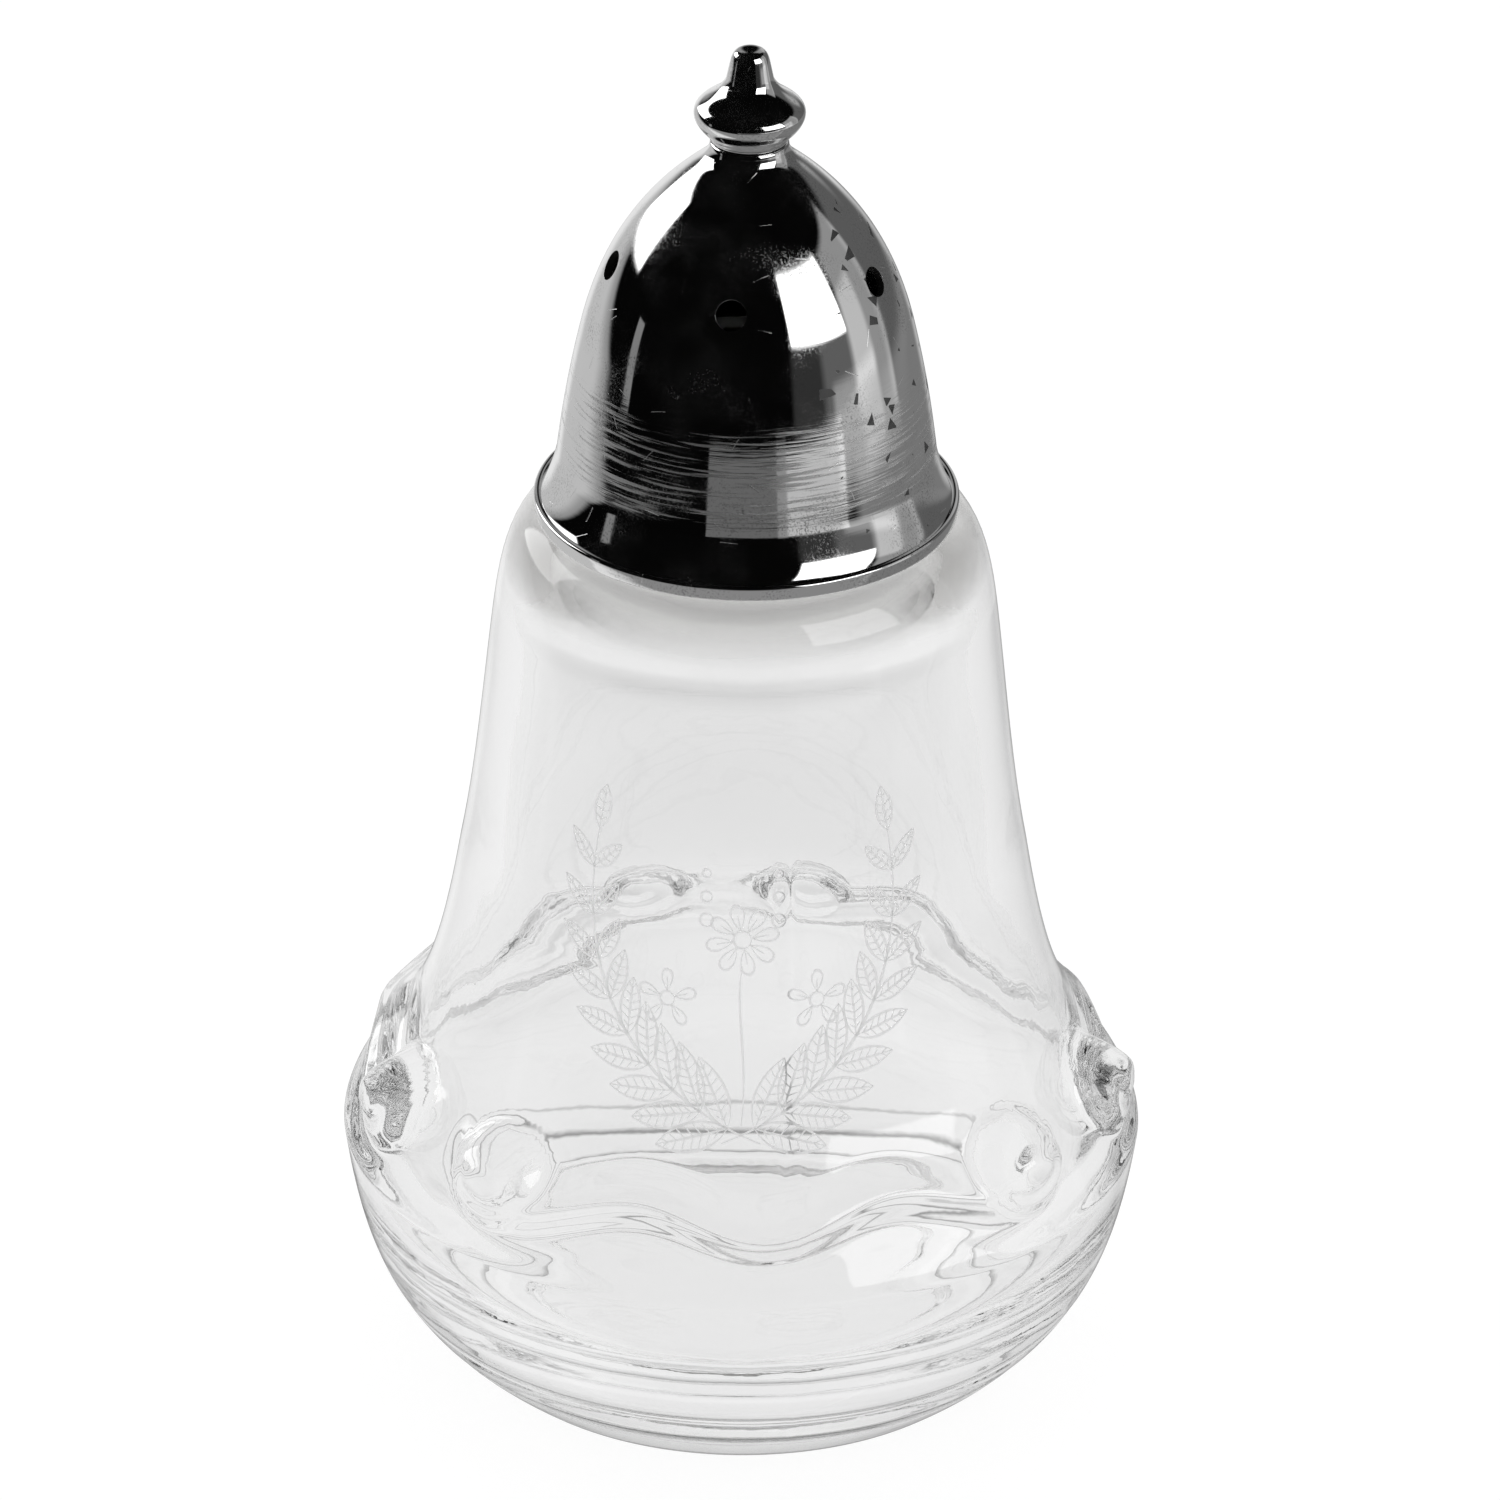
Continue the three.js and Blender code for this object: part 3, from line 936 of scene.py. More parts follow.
    def proud(self, turn_deg: float, height: float, plain: float) -> float:
        """How far the moulding stands out from the plain side.

        Args:
            turn_deg: The angle from the front.
            height: The height in millimetres.
            plain: The plain side's radius there.

        Returns:
            The distance in millimetres.
        """
        unit = 360 / self.units
        angle = turn_deg - self.unit_turn_deg
        angle -= unit * round(angle / unit)
        crest = self.crest_height(angle)
        past = max(0.0, abs(angle) - self.lobe_angle_deg)
        lean = self.ridge_lean * math.cos(math.radians(turn_deg - self.ridge_lean_deg))
        amount = (self.ridge_proud + lean) * bump(past / self.lobe_spread_deg)
        offset = height - crest
        bead = amount * (
            (1 - self.crest_share) * bump(offset / self.ridge_half_width)
            + self.crest_share * bump(offset / self.crest_half_width)
        )
        below = bump((offset + self.channel_drop) / self.channel_half_width)
        channel = self.channel_share * amount * below
        aside = math.radians(abs(angle) - self.lobe_angle_deg) * plain
        across = aside / self.lobe_half_width
        above = (height - self.lobe_height) / self.lobe_half_height
        face = self.belly_radius - self.lobe_inset - plain
        from_ring = math.hypot(across + self.scroll_off[0], above + self.scroll_off[1])
        groove = bump((from_ring - self.scroll_ring) / self.scroll_half_width)
        swell = knob(math.hypot(across, above))
        lobe = (face - self.scroll_depth * groove) * swell
        return max(bead, lobe) - channel * (1 - swell)

    def surface(self, turn_deg: float, height: float, side: Outline) -> Vector:
        """Finds a point of the outside, with the moulding on it.

        Args:
            turn_deg: The angle from the front.
            height: The height in millimetres.
            side: The plain side's outline.

        Returns:
            The point, in millimetres.
        """
        plain = radius_at(side, height)
        radius = plain + self.proud(turn_deg, height, plain)
        angle = math.radians(turn_deg)
        return Vector((radius * math.sin(angle), -radius * math.cos(angle), height))

    def mould(self, mesh: bmesh.types.BMesh, side: Outline) -> None:
        """Raises the ridge and its lobes on the outside of the turned jar.

        Args:
            mesh: The jar in millimetres.
            side: The plain side's outline.
        """
        unit = 360 / self.units
        for vert in mesh.verts:
            height = vert.co.z
            radius = math.hypot(vert.co.x, vert.co.y)
            if height > self.seam_top or radius < radius_at(side, height) - 0.5:
                continue
            turn_deg = math.degrees(math.atan2(vert.co.x, -vert.co.y))
            follow = bump((height - self.ridge_height) / self.ridge_reach)
            if follow > 0:
                angle = turn_deg - self.unit_turn_deg
                angle -= unit * round(angle / unit)
                moved = height + (self.crest_height(angle) - self.ridge_height) * follow
                vert.co = self.surface(turn_deg, moved, side)
            beside = turn_deg - self.seam_deg
            beside = math.radians(beside - unit * round(beside / unit)) * radius
            above = smooth_step(height - 0.5)
            fade = smooth_step((self.seam_top - height) / self.seam_fade) * above
            seam = self.seam_proud * bump(beside / self.seam_half_width) * fade
            vert.co += Vector((vert.co.x, vert.co.y, 0)).normalized() * seam

    def build(self, glass: bpy.types.Material) -> None:
        """Makes the jar.

        Args:
            glass: Its material.
        """
        side = self.side()
        base = [(radius, height) for radius, height in side if height > self.foot_edge]
        outline = self.under_foot() + base + self.neck() + self.hollow()
        mesh = turn_outline(outline, self.steps)
        self.mould(mesh, side)
        self.thread.cut(
            mesh, self.seat_height + self.thread_margin, self.neck_top - self.thread_margin,
            self.neck_radius,
        )
        piece = place(mesh, "pressed_jar", self.sharp_deg)
        hand_over(piece, (glass,), Body.JAR, Slot.GLASS, "glass_jar")


@dataclass
class EtchedSpray:
    """A generic spray frosted on the front: two leafy branches that part, blossoms between."""

    jar: GlassJar
    line_width: float = 0.16
    vein_width: float = 0.1
    lift: float = 0.006
    thickness: float = 0.02
    root_height: float = 24.0

    def stroke(self, mesh: bmesh.types.BMesh, points: Outline, width: float) -> None:
        """Draws a flat ribbon along points on the unrolled front, tapering at both ends.

        Args:
            mesh: The flat drawing, with X along the glass and Z up.
            points: The middle of the ribbon, in millimetres.
            width: Its full width.
        """
        last = len(points) - 1
        edge = None
        for i, (x, z) in enumerate(points):
            before, after = Vector(points[max(0, i - 1)]), Vector(points[min(last, i + 1)])
            along = (after - before).normalized()
            taper = 0.35 + 0.65 * math.sin(math.pi * i / last)
            half = Vector((-along.y, along.x)) * width * taper / 2
            corners = [Vector((x, 0, z)) + Vector((s * half.x, 0, s * half.y)) for s in (1, -1)]
            if edge is None:
                edge = mesh.edges.new([mesh.verts.new(corner) for corner in corners])
                continue
            old = list(edge.verts)
            made = bmesh.ops.extrude_edge_only(mesh, edges=[edge])["geom"]
            edge = next(
                part for part in made
                if isinstance(part, bmesh.types.BMEdge) and not set(old) & set(part.verts)
            )
            for vert in edge.verts:
                vert.co = corners[0] if (vert.co - old[0].co).length < 1e-9 else corners[1]

    def leaf(self, mesh: bmesh.types.BMesh, at: Point, lean: float, length: float) -> None:
        """Draws a pointed leaf with a midrib and slanting veins.

        Args:
            mesh: The flat drawing.
            at: Where the leaf leaves its stem.
            lean: The direction that it points in, in radians from +X.
            length: Its length in millimetres.
        """
        ahead = Vector((math.cos(lean), math.sin(lean)))
        aside = Vector((-ahead.y, ahead.x))
        start = Vector(at)
        tip = start + ahead * length
        half = 0.2 * length
        for hand in (1, -1):
            belly = [start + ahead * length * s + aside * hand * half * w
                     for s, w in ((0.25, 1.25), (0.7, 1.1))]
            edge = [tuple(start)] + curve(
                tuple(start), tuple(belly[0]), tuple(belly[1]), tuple(tip), 12
            )
            self.stroke(mesh, edge, self.line_width)
            veins = max(3, round(length / 0.55))
            for k in range(1, veins):
                share = k / veins
                reach = half * 0.86 * math.sin(math.pi * min(1, share * 1.06)) ** 0.8
                foot = start + ahead * length * share * 0.94
                end = foot + ahead * 0.09 * length + aside * hand * reach
                self.stroke(mesh, [tuple(foot)] + line(tuple(foot), tuple(end), 3),
                            self.vein_width)
        self.stroke(mesh, [tuple(start)] + line(tuple(start), tuple(tip), 8), self.line_width)

    def blossom(self, mesh: bmesh.types.BMesh, at: Point, radius: float, petals: int) -> None:
        """Draws a round blossom of simple petals about a small ring.

        Args:
            mesh: The flat drawing.
            at: Its middle.
            radius: Its radius in millimetres.
            petals: How many petals it has.
        """
        middle = Vector(at)
        for k in range(petals):
            turn = 2 * math.pi * (k + 0.25) / petals
            reach = Vector((math.cos(turn), math.sin(turn)))
            aside = Vector((-reach.y, reach.x)) * radius * 0.62
            root = middle + reach * radius * 0.26
            tip = middle + reach * radius * 1.2
            petal = [tuple(root)] + curve(
                tuple(root), tuple(tip + aside), tuple(tip - aside), tuple(root), 16
            )
            self.stroke(mesh, petal, self.line_width)
            vein_end = tuple(middle + reach * radius * 0.7)
            vein = [tuple(root)] + line(tuple(root), vein_end, 3)
            self.stroke(mesh, vein, self.vein_width)
        self.ring(mesh, at, radius * 0.24)

    def ring(self, mesh: bmesh.types.BMesh, at: Point, radius: float) -> None:
        """Draws a small ring.

        Args:
            mesh: The flat drawing.
            at: Its middle.
            radius: Its radius in millimetres.
        """
        turns = [2 * math.pi * i / 12 for i in range(13)]
        ring = [(at[0] + radius * math.cos(t), at[1] + radius * math.sin(t)) for t in turns]
        self.stroke(mesh, ring, self.line_width)

    def branch(self, mesh: bmesh.types.BMesh, hand: int) -> None:
        """Draws one leafy branch that curves up and out from the root.

        Args:
            mesh: The flat drawing.
            hand: 1 for the right branch and -1 for the left.
        """
        root = (-1.2 * hand, self.root_height)
        stem = [root] + curve(
            root, (4.0 * hand, self.root_height + 2.0), (11.5 * hand, self.root_height + 6.5),
            (9.2 * hand, self.root_height + 18.5), 40,
        )
        self.stroke(mesh, stem, self.line_width * 1.3)
        for k, i in enumerate(range(5, 40, 4)):
            along = Vector(stem[i + 1]) - Vector(stem[i - 1])
            heading = math.atan2(along.y, along.x)
            length = 4.6 - 0.24 * k
            for lean in (0.72, -0.72):
                self.leaf(mesh, stem[i], heading + lean, length)
        along = Vector(stem[-1]) - Vector(stem[-2])
        self.leaf(mesh, stem[-1], math.atan2(along.y, along.x), 3.0)

    def draw(self) -> bmesh.types.BMesh:
        """Draws the whole spray flat.

        Returns:
            The drawing, with X along the glass and Z up, in millimetres.
        """
        mesh = bmesh.new()
        for hand in (1, -1):
            self.branch(mesh, hand)
            self.blossom(mesh, (4.6 * hand, self.root_height + 8.6), 1.9, 5)
            for k in range(3):
                self.ring(mesh, (2.2 * hand, self.root_height + 13.8 + 1.5 * k), 0.42 - 0.08 * k)
        stalk = [(0.0, self.root_height + 1.0)] + curve(
            (0.0, self.root_height + 1.0), (0.5, self.root_height + 5.0),
            (-0.5, self.root_height + 8.0), (0.0, self.root_height + 11.0), 12,
        )
        self.stroke(mesh, stalk, self.line_width)
        self.blossom(mesh, (0.0, self.root_height + 12.6), 2.3, 8)
        return mesh

    def build(self, frost: bpy.types.Material) -> None:
        """Wraps the drawing round the front of the jar and gives it its small thickness.

        Args:
            frost: Its material.
        """
        mesh = self.draw()
        side = self.jar.side()
        for vert in mesh.verts:
            height = vert.co.z
            turn_deg = math.degrees(vert.co.x / radius_at(side, height))
            point = self.jar.surface(turn_deg, height, side)
            outward = Vector((point.x, point.y, 0)).normalized()
            vert.co = point + outward * self.lift
        for face in mesh.faces:
            face.normal_update()
            if face.normal.dot(face.calc_center_median().xy.to_3d()) < 0:
                face.normal_flip()
        bmesh.ops.solidify(mesh, geom=mesh.faces, thickness=-self.thickness)
        piece = place(mesh, "etched_spray", 40)
        hand_over(piece, (frost,), Body.JAR, Slot.GLASS)


@dataclass
class LidShell:
    """The drawn dome: rolled rim, flare, pierced sprinkle holes and the inside of the sheet."""

    rim_height: float = 57.8
    rim_radius: float = 13.0
    bead_bottom: float = 57.54
    bead_top: float = 58.52
    bead_proud: float = 0.4
    flare_knee: float = 61.2
    sheet: float = 0.5
    flare_inset: float = 1.4
    shoulder_inset: float = 2.8
    shoulder_rise: float = 11.7
    dome_height: float = 24.4
    neck_radius: float = 2.4
    neck_rise: float = 1.6
    top_hole_radius: float = 1.1
    holes: int = 5
    hole_radius: float = 0.95
    hole_drop: float = 7.7
    hole_turn_deg: float = -7.0
    hole_edge: float = 0.07
    skin: float = 0.16
    steps: int = 240

    @property
    def top(self) -> float:
        """The height of the flat that the finial stands on."""
        return self.rim_height + self.dome_height

    def outside(self) -> Outline:
        """Draws the outside of the sheet.

        Returns:
            The way from the groove above the bead up to the finial's neck.
        """
        flare_top = self.rim_radius - self.flare_inset
        shoulder_radius = self.rim_radius - self.shoulder_inset
        shoulder = self.rim_height + self.shoulder_rise
        groove = (self.rim_radius - self.bead_proud, self.bead_top)
        knee = (flare_top, self.flare_knee)
        hip = (shoulder_radius, shoulder)
        cap = (self.neck_radius + 1.1, self.top - self.neck_rise)
        edge = (self.neck_radius, self.top - 0.1)
        return (
            [groove]
            + curve(groove, (groove[0] - 0.4, groove[1] + 0.5),
                    (flare_top + 0.26, self.flare_knee - 1.2), knee, 16)
            + curve(knee, (flare_top - 0.31, knee[1] + 2.6),
                    (shoulder_radius + 0.75, shoulder - 3.3), hip, 20)
            + curve(hip, (shoulder_radius - 0.9, shoulder + 4.1),
                    (self.neck_radius + 5.0, self.top - self.neck_rise - 3.2), cap, 34)
            + curve(cap, (cap[0] - 0.55, cap[1] + 0.45), (self.neck_radius, cap[1] + 0.85),
                    edge, 10)
            + line(edge, (self.neck_radius - 0.1, self.top))
        )

    def inside(self, outside: Outline) -> Outline:
        """The inside of the sheet, one thickness in from the outside, going down.

        Args:
            outside: The outside of the sheet, going up.

        Returns:
            The inside's points, without the bead.
        """
        points = []
        for i, (radius, height) in enumerate(outside[:-1]):
            before, after = Vector(outside[max(0, i - 1)]), Vector(outside[i + 1])
            along = (after - before).normalized()
            inner = (radius - self.sheet * along.y, height + self.sheet * along.x)
            points.append((inner[0], min(inner[1], self.top - self.sheet)))
        return points[::-1]

    def outline(self) -> Outline:
        """Draws the sheet with its rim rolled to a band with rounded edges.

        Returns:
            Its whole closed section.
        """
        outside = self.outside()
        rim, low, high = self.rim_radius, self.bead_bottom, self.bead_top
        face = line((rim - 0.05, low + 0.12), (rim, high - 0.22), 3)
        band = (
            [(rim - 0.28, low)]
            + curve((rim - 0.28, low), (rim - 0.1, low), (rim - 0.06, low + 0.03),
                    (rim - 0.05, low + 0.12), 5)
            + face
            + curve(face[-1], (rim, high - 0.06), (rim - 0.12, high + 0.04),
                    (rim - 0.32, high + 0.02), 8)
        )
        hem = (rim - self.bead_proud - self.sheet, low)
        hole = [(self.top_hole_radius, self.top), (self.top_hole_radius, self.top - self.sheet)]
        return [hem] + band + outside + hole + self.inside(outside)

    def punch(self) -> bpy.types.Object:
        """Makes the punches, each square to the dome where it goes through.

        Returns:
            All of them, as one object.
        """
        outside = self.outside()
        height = self.top - self.hole_drop
        radius = radius_at(outside, height)
        lean = math.atan2(radius - radius_at(outside, height + 1), 1)
        mesh = bmesh.new()
        for k in range(self.holes):
            turn = math.radians(self.hole_turn_deg + 360 * k / self.holes)
            matrix = (
                Matrix.Rotation(turn, 4, "Z")
                @ Matrix.Translation((0, -radius, height))
                @ Matrix.Rotation(math.pi / 2 - lean, 4, "X")
            )
            bmesh.ops.create_cone(
                mesh, cap_ends=True, segments=40, radius1=self.hole_radius,
                radius2=self.hole_radius, depth=6 * self.sheet, matrix=matrix,
            )
        return place(mesh, "punches")

    def round_holes(self, piece: bpy.types.Object) -> None:
        """Rounds the edges of the holes a little, as polishing does.

        Args:
            piece: The pierced dome, in metres.
        """
        mesh = bmesh.new()
        mesh.from_mesh(piece.data)
        middle = (self.top - self.hole_drop) * MM
        reach = (self.hole_radius + 0.3) * MM
        rims = [
            edge for edge in mesh.edges
            if len(edge.link_faces) == 2
            and edge.calc_face_angle(0) > math.radians(60)
            and abs(edge.verts[0].co.z - middle) < reach
            and abs(edge.verts[1].co.z - middle) < reach
        ]
        round_edges(mesh, rims, self.hole_edge * MM)
        mesh.to_mesh(piece.data)
        mesh.free()
        piece.data.set_sharp_from_angle(angle=math.radians(50))

    def darken_inside(self, piece: bpy.types.Object) -> None:
        """Gives the second material, dark tarnish with painted shade, to the faces that lie under
        the sheet's outside.

        Args:
            piece: The dome, in metres.
        """
        outside = self.outside()
        for face in piece.data.polygons:
            middle = face.center / MM
            depth = radius_at(outside, middle.z) - math.hypot(middle.x, middle.y)
            # index 1 gets the dark tarnish with painted shade
            face.material_index = int(middle.z > self.rim_height and depth > self.skin)

    def build(self, plate: bpy.types.Material, inside: bpy.types.Material) -> None:
        """Makes the dome.

        Args:
            plate: Its material outside.
            inside: Its material inside, dark tarnish with painted shade.
        """
        piece = place(turn_outline(self.outline(), self.steps, closed=True), "plated_dome")
        punch = self.punch()
        pierce = piece.modifiers.new("sprinkle holes", "BOOLEAN")
        pierce.operation = "DIFFERENCE"
        pierce.solver = "EXACT"
        pierce.object = punch
        shaped = piece.evaluated_get(bpy.context.evaluated_depsgraph_get())
        pierced = bpy.data.meshes.new_from_object(shaped)
        piece.modifiers.clear()
        piece.data = pierced
        pierced.name = piece.name
        bpy.data.objects.remove(punch)
        self.round_holes(piece)
        piece.data.materials.clear()
        hand_over(piece, (plate, inside), Body.LID, Slot.PLATE, "lid_dome")
        self.darken_inside(piece)


@dataclass
class Finial:
    """The turned knob on the dome, with the tenon that goes through it and is peened over."""

    base: float = 82.3
    height: float = 5.95
    neck_radius: float = 2.4
    disc_radius: float = 3.38
    disc_rise: float = 1.75
    stem_radius: float = 1.45
    tip_radius: float = 0.95
    tenon_radius: float = 0.9
    head_radius: float = 1.4
    head_top: float = 80.9
    head_thickness: float = 0.6
    steps: int = 128

    def outline(self) -> Outline:
        """Draws the knob and its tenon.

        Returns:
            The section from the tenon's head under the lid up to the tip.
        """
        under = self.head_top - self.head_thickness
        tip = self.base + self.height
        rim = self.base + self.disc_rise
        shoulder = (self.stem_radius, rim + 2.2)
        neck = (self.neck_radius, self.base + 0.08)
        under_rim = (self.disc_radius - 0.05, rim - 0.3)
        over_rim = (self.disc_radius - 0.06, rim + 0.3)
        stem_top = (self.stem_radius - 0.22, tip - 0.95)
        return (
            [(0.0, under), (self.head_radius - 0.35, under)]
            + curve((self.head_radius - 0.35, under), (self.head_radius - 0.1, under),
                    (self.head_radius, under + 0.1), (self.head_radius, under + 0.35), 4)
            + [(self.head_radius, self.head_top), (self.tenon_radius, self.head_top),
               (self.tenon_radius, self.base), (self.neck_radius - 0.08, self.base), neck]
            + curve(neck, (self.neck_radius + 0.02, self.base + 0.4),
                    (self.disc_radius - 0.28, rim - 0.95), under_rim, 12)
            + curve(under_rim, (self.disc_radius + 0.02, rim - 0.08),
                    (self.disc_radius + 0.02, rim + 0.12), over_rim, 8)
            + curve(over_rim, (self.disc_radius - 0.35, rim + 0.95),
                    (self.stem_radius + 0.5, rim + 1.15), shoulder, 16)
            + line(shoulder, stem_top, 5)
            + curve(stem_top, (self.stem_radius - 0.36, tip - 0.3),
                    (self.tip_radius, tip), (0.3, tip), 10)
            + [(0.0, tip)]
        )

    def build(self, plate: bpy.types.Material) -> None:
        """Makes the finial.

        Args:
            plate: Its material.
        """
        piece = place(turn_outline(self.outline(), self.steps), "turned_finial", 40)
        hand_over(piece, (plate,), Body.LID, Slot.PLATE, "finial")


@dataclass
class Washer:
    """The small washer that the tenon is peened over."""

    inner: float = 1.0
    outer: float = 1.8
    bottom: float = 81.0
    thickness: float = 0.6
    edge: float = 0.1
    steps: int = 72

    def build(self, brass: bpy.types.Material) -> None:
        """Makes the washer.

        Args:
            brass: Its material.
        """
        top = self.bottom + self.thickness
        section = [(self.inner, self.bottom), (self.outer, self.bottom), (self.outer, top),
                   (self.inner, top)]
        mesh = turn_outline(section, self.steps, closed=True)
        corners = [e for e in mesh.edges if abs(e.calc_face_angle(0)) > math.radians(60)]
        round_edges(mesh, corners, self.edge)
        piece = place(mesh, "peened_washer", 40)
        hand_over(piece, (brass,), Body.LID_LIFT, Slot.BRASS, "finial_washer")


@dataclass
class ThreadCollar:
    """The sheet collar soldered in the dome, with its female thread rolled in from outside."""

    bottom: float = 58.1
    length: float = 6.9
    outer: float = 10.26
    inner: float = 9.81
    flange_radius: float = 11.7
    flange: float = 0.5
    margin: float = 0.15
    rolled: Thread = Thread(
        pitch=PITCH_MM, depth=-0.75, foot=1.3, crest=0.6, zero_height=58.4, first_height=58.85,
        last_height=64.25,
    )
    dented: Thread = Thread(
        pitch=PITCH_MM, depth=-0.5, foot=1.0, crest=0.4, zero_height=58.4, first_height=59.6,
        last_height=64.1,
    )
    steps: int = 192

    def build(self, brass: bpy.types.Material) -> None:
        """Makes the collar.

        Args:
            brass: Its material.
        """
        top = self.bottom + self.length
        step = self.bottom + self.flange
        outline = (
            [(self.inner, self.bottom), (self.flange_radius - 0.1, self.bottom),
             (self.flange_radius, self.bottom + 0.1), (self.flange_radius, step - 0.1),
             (self.flange_radius - 0.1, step), (self.outer + 0.15, step),
             (self.outer, step + 0.15)]
            + line((self.outer, step + 0.15), (self.outer, top - 0.1), 44)
            + [(self.outer - 0.1, top), (self.inner + 0.1, top), (self.inner, top - 0.1)]
            + line((self.inner, top - 0.1), (self.inner, self.bottom), 48)[:-1]
        )
        mesh = turn_outline(outline, self.steps, closed=True)
        self.rolled.cut(mesh, self.bottom + self.margin, top - self.margin, self.inner)
        self.dented.cut(mesh, step + self.margin + 0.05, top - self.margin, self.outer)
        piece = place(mesh, "rolled_collar", 60)
        hand_over(piece, (brass,), Body.LID, Slot.BRASS, "thread_collar")


@dataclass(frozen=True)
class Window:
    """A bright or dim pane of the studio, as a range of directions seen from the object.

    Its angles run from left to right about +Z and from low to high above the horizon. A lean
    shifts it to the right as it rises, and a slope lifts its top and foot towards the right.
    """

    left_deg: float
    right_deg: float
    low_deg: float
    high_deg: float
    light: float
    soft_deg: float = 1.5
    lean: float = 0.0
    slope: float = 0.0


@dataclass(frozen=True)
class DimSpot:
    """A soft dim place on the floor behind the object, which only light through the glass sees."""

    behind: float
    inner: float
    outer: float
    dimming: float


@dataclass
class Studio:
    """A plain pale floor, a dark room with soft windows, and the camera at the photograph's angle.

    Only mirror reflections see the room and its windows. The camera sees the backdrop, and light
    that comes through the glass or falls on the floor comes from a pale surround.
    """

    elevation_deg: float = 27.9
    distance: float = 905.0
    aim_right: float = 0.35
    aim_height: float = 40.6
    roll_deg: float = 0.5
    lens_mm: float = 352.9
    sensor_mm: float = 36.0
    backdrop: float = 0.985
    room: float = 0.0015
    surround: float = 0.93
    floor_radius: float = 2500.0
    floor_glow: float = 0.94
    floor_through: float = 0.85
    paper_grey: float = 0.11
    bounces: int = 28
    windows: tuple[Window, ...] = (
        Window(33, 77, 11, 38, 2.6, 2.0, -0.1, -0.12),
        Window(-144, -106, 8, 33, 2.6, 3.0, 0.0, 0.25),
        Window(-212, -120, -90, 2, 0.3, 9.0, -1.5, 0.25),
        Window(-208, -132, -90, 0, 0.26, 20.0, -1.5, 0.25),
        Window(-87, -81, -9, 8, 0.22, 1.0),
        Window(-23, 78, -14.3, -6.2, 0.14, 0.7),
        Window(18, 24, -14.3, -5.0, 0.14, 1.0),
        Window(24, 62, -15, -6.8, 0.4, 1.6),
        Window(58, 96, -13.5, -3, 0.22, 5.0),
        Window(-95, 72, -90, -18, 0.26, 4.0),
        Window(78, 112, -14, 34, 0.3, 4.0),
        Window(76, 95, -8, 20, 0.26, 5.0),
        Window(108, 168, -14, 28, 0.11, 6.0),
        Window(70, 168, -90, -12, 0.2, 8.0),
        Window(30, 52, -10, 12, 0.03, 4.0),
        Window(52, 78, -10, 14, 0.12, 6.0),
        Window(158, 206, -90, 14, 0.28, 12.0),
        Window(-172, -150, 10, 48, 0.3, 10.0),
        Window(144, 172, 10, 48, 0.3, 10.0),
    )
    shades: tuple[Window, ...] = (Window(-70, 70, 10, 120, -0.35, 16.0),)
    dim_spots: tuple[DimSpot, ...] = (
        DimSpot(108.0, 15.0, 75.0, 0.11),
        DimSpot(172.0, 5.0, 95.0, 0.16),
    )

    def camera(self) -> None:
        """Places the camera, in the row frame."""
        tilt = math.radians(self.elevation_deg)
        roll = math.radians(self.roll_deg)
        back = Vector((0, -math.cos(tilt), math.sin(tilt)))
        up = Vector((0, math.sin(tilt), math.cos(tilt)))
        right = Vector((1, 0, 0))
        axes = (
            right * math.cos(roll) + up * math.sin(roll),
            up * math.cos(roll) - right * math.sin(roll),
            back,
        )
        spot = Vector((self.aim_right, 0, self.aim_height)) * MM + back * self.distance * MM
        data = bpy.data.cameras.new("photo_view")
        data.lens = self.lens_mm
        data.sensor_width = self.sensor_mm
        data.clip_start = 0.01
        camera = bpy.data.objects.new("photo_view", data)
        camera.matrix_world = Matrix.Translation(spot) @ Matrix(axes).transposed().to_4x4()
        bpy.context.scene.collection.objects.link(camera)
        bpy.context.scene.camera = camera

    def _band(self, nodes: Nodes, angle: Wire, low: float, high: float, soft: float) -> Wire:
        """1 where an angle lies in a range, with soft ends.

        Args:
            nodes: The tree.
            angle: The angle in degrees.
            low: The lower end.
            high: The upper end.
            soft: The width of each soft end.

        Returns:
            The mask.
        """
        rise, fall = [
            nodes.add(
                "MapRange", {"Value": angle, "From Min": dark, "From Max": light},
                interpolation_type="SMOOTHSTEP",
            )
            for dark, light in (
                (low - soft / 2, low + soft / 2), (high + soft / 2, high - soft / 2)
            )
        ]
        return nodes.add("Math", {0: rise, 1: fall}, operation="MULTIPLY")

    def _turned(self, nodes: Nodes, angle: Wire, middle: float) -> Wire:
        """Measures an angle from another, from -180 to 180 degrees.

        Args:
            nodes: The tree.
            angle: The angle in degrees.
            middle: What it is measured from.

        Returns:
            The angle between them.
        """
        off = nodes.add("Math", {0: angle, 1: middle}, operation="SUBTRACT")
        return nodes.add("Math", {0: off, 1: 180.0, 2: -180.0}, operation="WRAP")

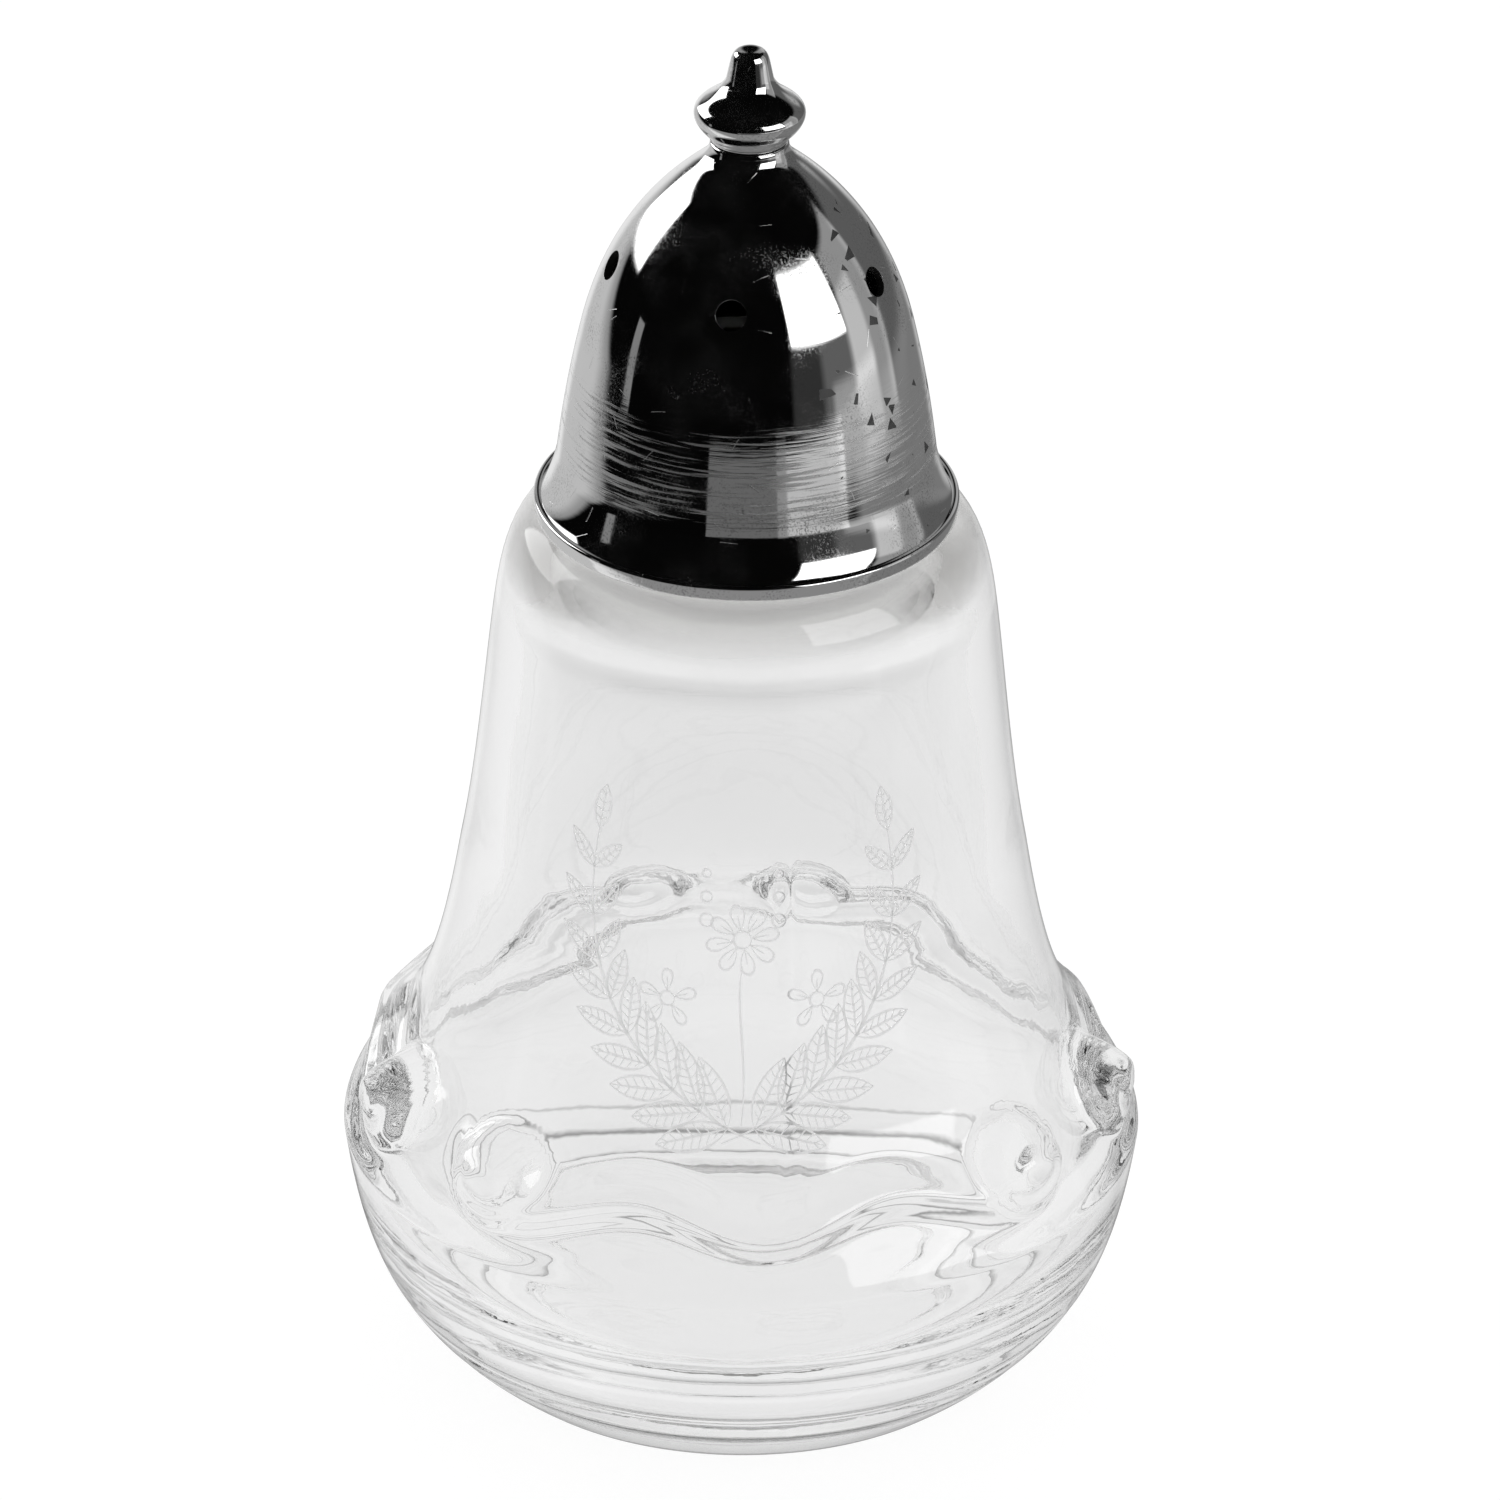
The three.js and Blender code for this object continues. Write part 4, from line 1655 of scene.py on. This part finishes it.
    def _panes(
        self, nodes: Nodes, turn: Wire, rise: Wire, panes: tuple[Window, ...], base: float
    ) -> Wire:
        """Adds up panes of light over an even one.

        Args:
            nodes: The tree.
            turn: The direction's angle about Z, in degrees.
            rise: Its angle above the horizon, in degrees.
            panes: The panes.
            base: The even light.

        Returns:
            The light in each direction.
        """
        total: Wire = base
        for pane in panes:
            leaned = nodes.add(
                "Math", {0: rise, 1: -pane.lean, 2: turn}, operation="MULTIPLY_ADD"
            )
            middle = (pane.left_deg + pane.right_deg) / 2
            half = (pane.right_deg - pane.left_deg) / 2
            aside, centred = [self._turned(nodes, angle, middle) for angle in (leaned, turn)]
            sloped = nodes.add(
                "Math", {0: centred, 1: -pane.slope, 2: rise}, operation="MULTIPLY_ADD"
            )
            across = self._band(nodes, aside, -half, half, pane.soft_deg)
            upright = self._band(nodes, sloped, pane.low_deg, pane.high_deg, pane.soft_deg)
            inside = nodes.add("Math", {0: across, 1: upright}, operation="MULTIPLY")
            total = nodes.add(
                "Math", {0: inside, 1: pane.light, 2: total}, operation="MULTIPLY_ADD"
            )
        return total

    def world(self) -> None:
        """Lights the room by direction, and shows the camera a plain pale backdrop."""
        world = bpy.data.worlds.new("studio")
        world.use_nodes = True
        bpy.context.scene.world = world
        nodes = Nodes(world.node_tree)
        split = nodes.add("SeparateXYZ", {"Vector": nodes.add("TexCoord").outputs["Generated"]})
        away = nodes.add("Math", {0: split.outputs["Y"], 1: -1.0}, operation="MULTIPLY")
        around = nodes.add("Math", {0: split.outputs["X"], 1: away}, operation="ARCTAN2")
        above = nodes.add("Math", {0: split.outputs["Z"]}, operation="ARCSINE")
        turn, rise = [
            nodes.add("Math", {0: angle}, operation="DEGREES") for angle in (around, above)
        ]
        mirrored = self._panes(nodes, turn, rise, self.windows, self.room)
        through = self._panes(nodes, turn, rise, self.shades, self.surround)
        path = nodes.add("LightPath")
        mirror = nodes.add(
            "Math", {0: path.outputs["Is Glossy Ray"], 1: path.outputs["Is Reflection Ray"]},
            operation="MULTIPLY",
        )
        light = nodes.add("Mix", {0: mirror, 2: through, 3: mirrored})
        strength = nodes.add("Mix", {0: path.outputs["Is Camera Ray"], 2: light, 3: self.backdrop})
        shown = nodes.add("Background", {"Color": (1, 1, 1, 1), "Strength": strength})
        nodes.add("OutputWorld", {"Surface": shown})

    def floor(self) -> None:
        """Lays the pale floor, which glows softly and which mirror reflections don't see."""
        mesh = bmesh.new()
        bmesh.ops.create_circle(mesh, cap_ends=True, segments=96, radius=self.floor_radius)
        piece = place(mesh, "floor")
        material, nodes, place_at = new_material("pale_floor")
        through: Wire = self.floor_through
        for spot in self.dim_spots:
            away = nodes.add(
                "VectorMath", {0: place_at, 1: (0.0, spot.behind * MM, 0.0)}, operation="DISTANCE"
            )
            dim = nodes.add(
                "MapRange",
                {"Value": away, "From Min": spot.outer * MM, "From Max": spot.inner * MM,
                 "To Max": spot.dimming},
                interpolation_type="SMOOTHSTEP",
            )
            through = nodes.add("Math", {0: through, 1: dim}, operation="SUBTRACT")
        seen = nodes.add("LightPath").outputs["Is Camera Ray"]
        strength = nodes.add("Mix", {0: seen, 2: through, 3: self.floor_glow})
        glow = nodes.add("Emission", {"Strength": strength})
        paper = nodes.add("BsdfDiffuse", {"Color": (*[self.paper_grey] * 3, 1)})
        both = nodes.add("AddShader", {0: glow, 1: paper})
        nodes.add("OutputMaterial", {"Surface": both})
        piece.data.materials.append(material)
        piece.visible_glossy = False

    def build(self) -> None:
        """Sets the camera, light and floor, with light paths long enough for thick glass."""
        scene = bpy.context.scene
        scene.view_settings.view_transform = "Standard"
        scene.cycles.max_bounces = self.bounces
        scene.cycles.glossy_bounces = self.bounces
        scene.cycles.transmission_bounces = self.bounces
        self.camera()
        self.world()
        self.floor()
        log.info("studio: %d windows", len(self.windows))


def main() -> None:
    """Builds the studio and each piece in order."""
    logging.basicConfig(level=logging.INFO, format="%(name)s %(message)s")
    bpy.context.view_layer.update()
    Studio().build()
    jar = GlassJar()
    jar.build(PressedGlass().material())
    EtchedSpray(jar).build(EtchedFrost().material())
    plate = SilverPlate().material()
    brass = BareBrass().material()
    LidShell().build(plate, TarnishAndShadeInside().material())
    Finial().build(plate)
    ThreadCollar().build(brass)
    Washer().build(brass)


if __name__ == "__main__":
    main()
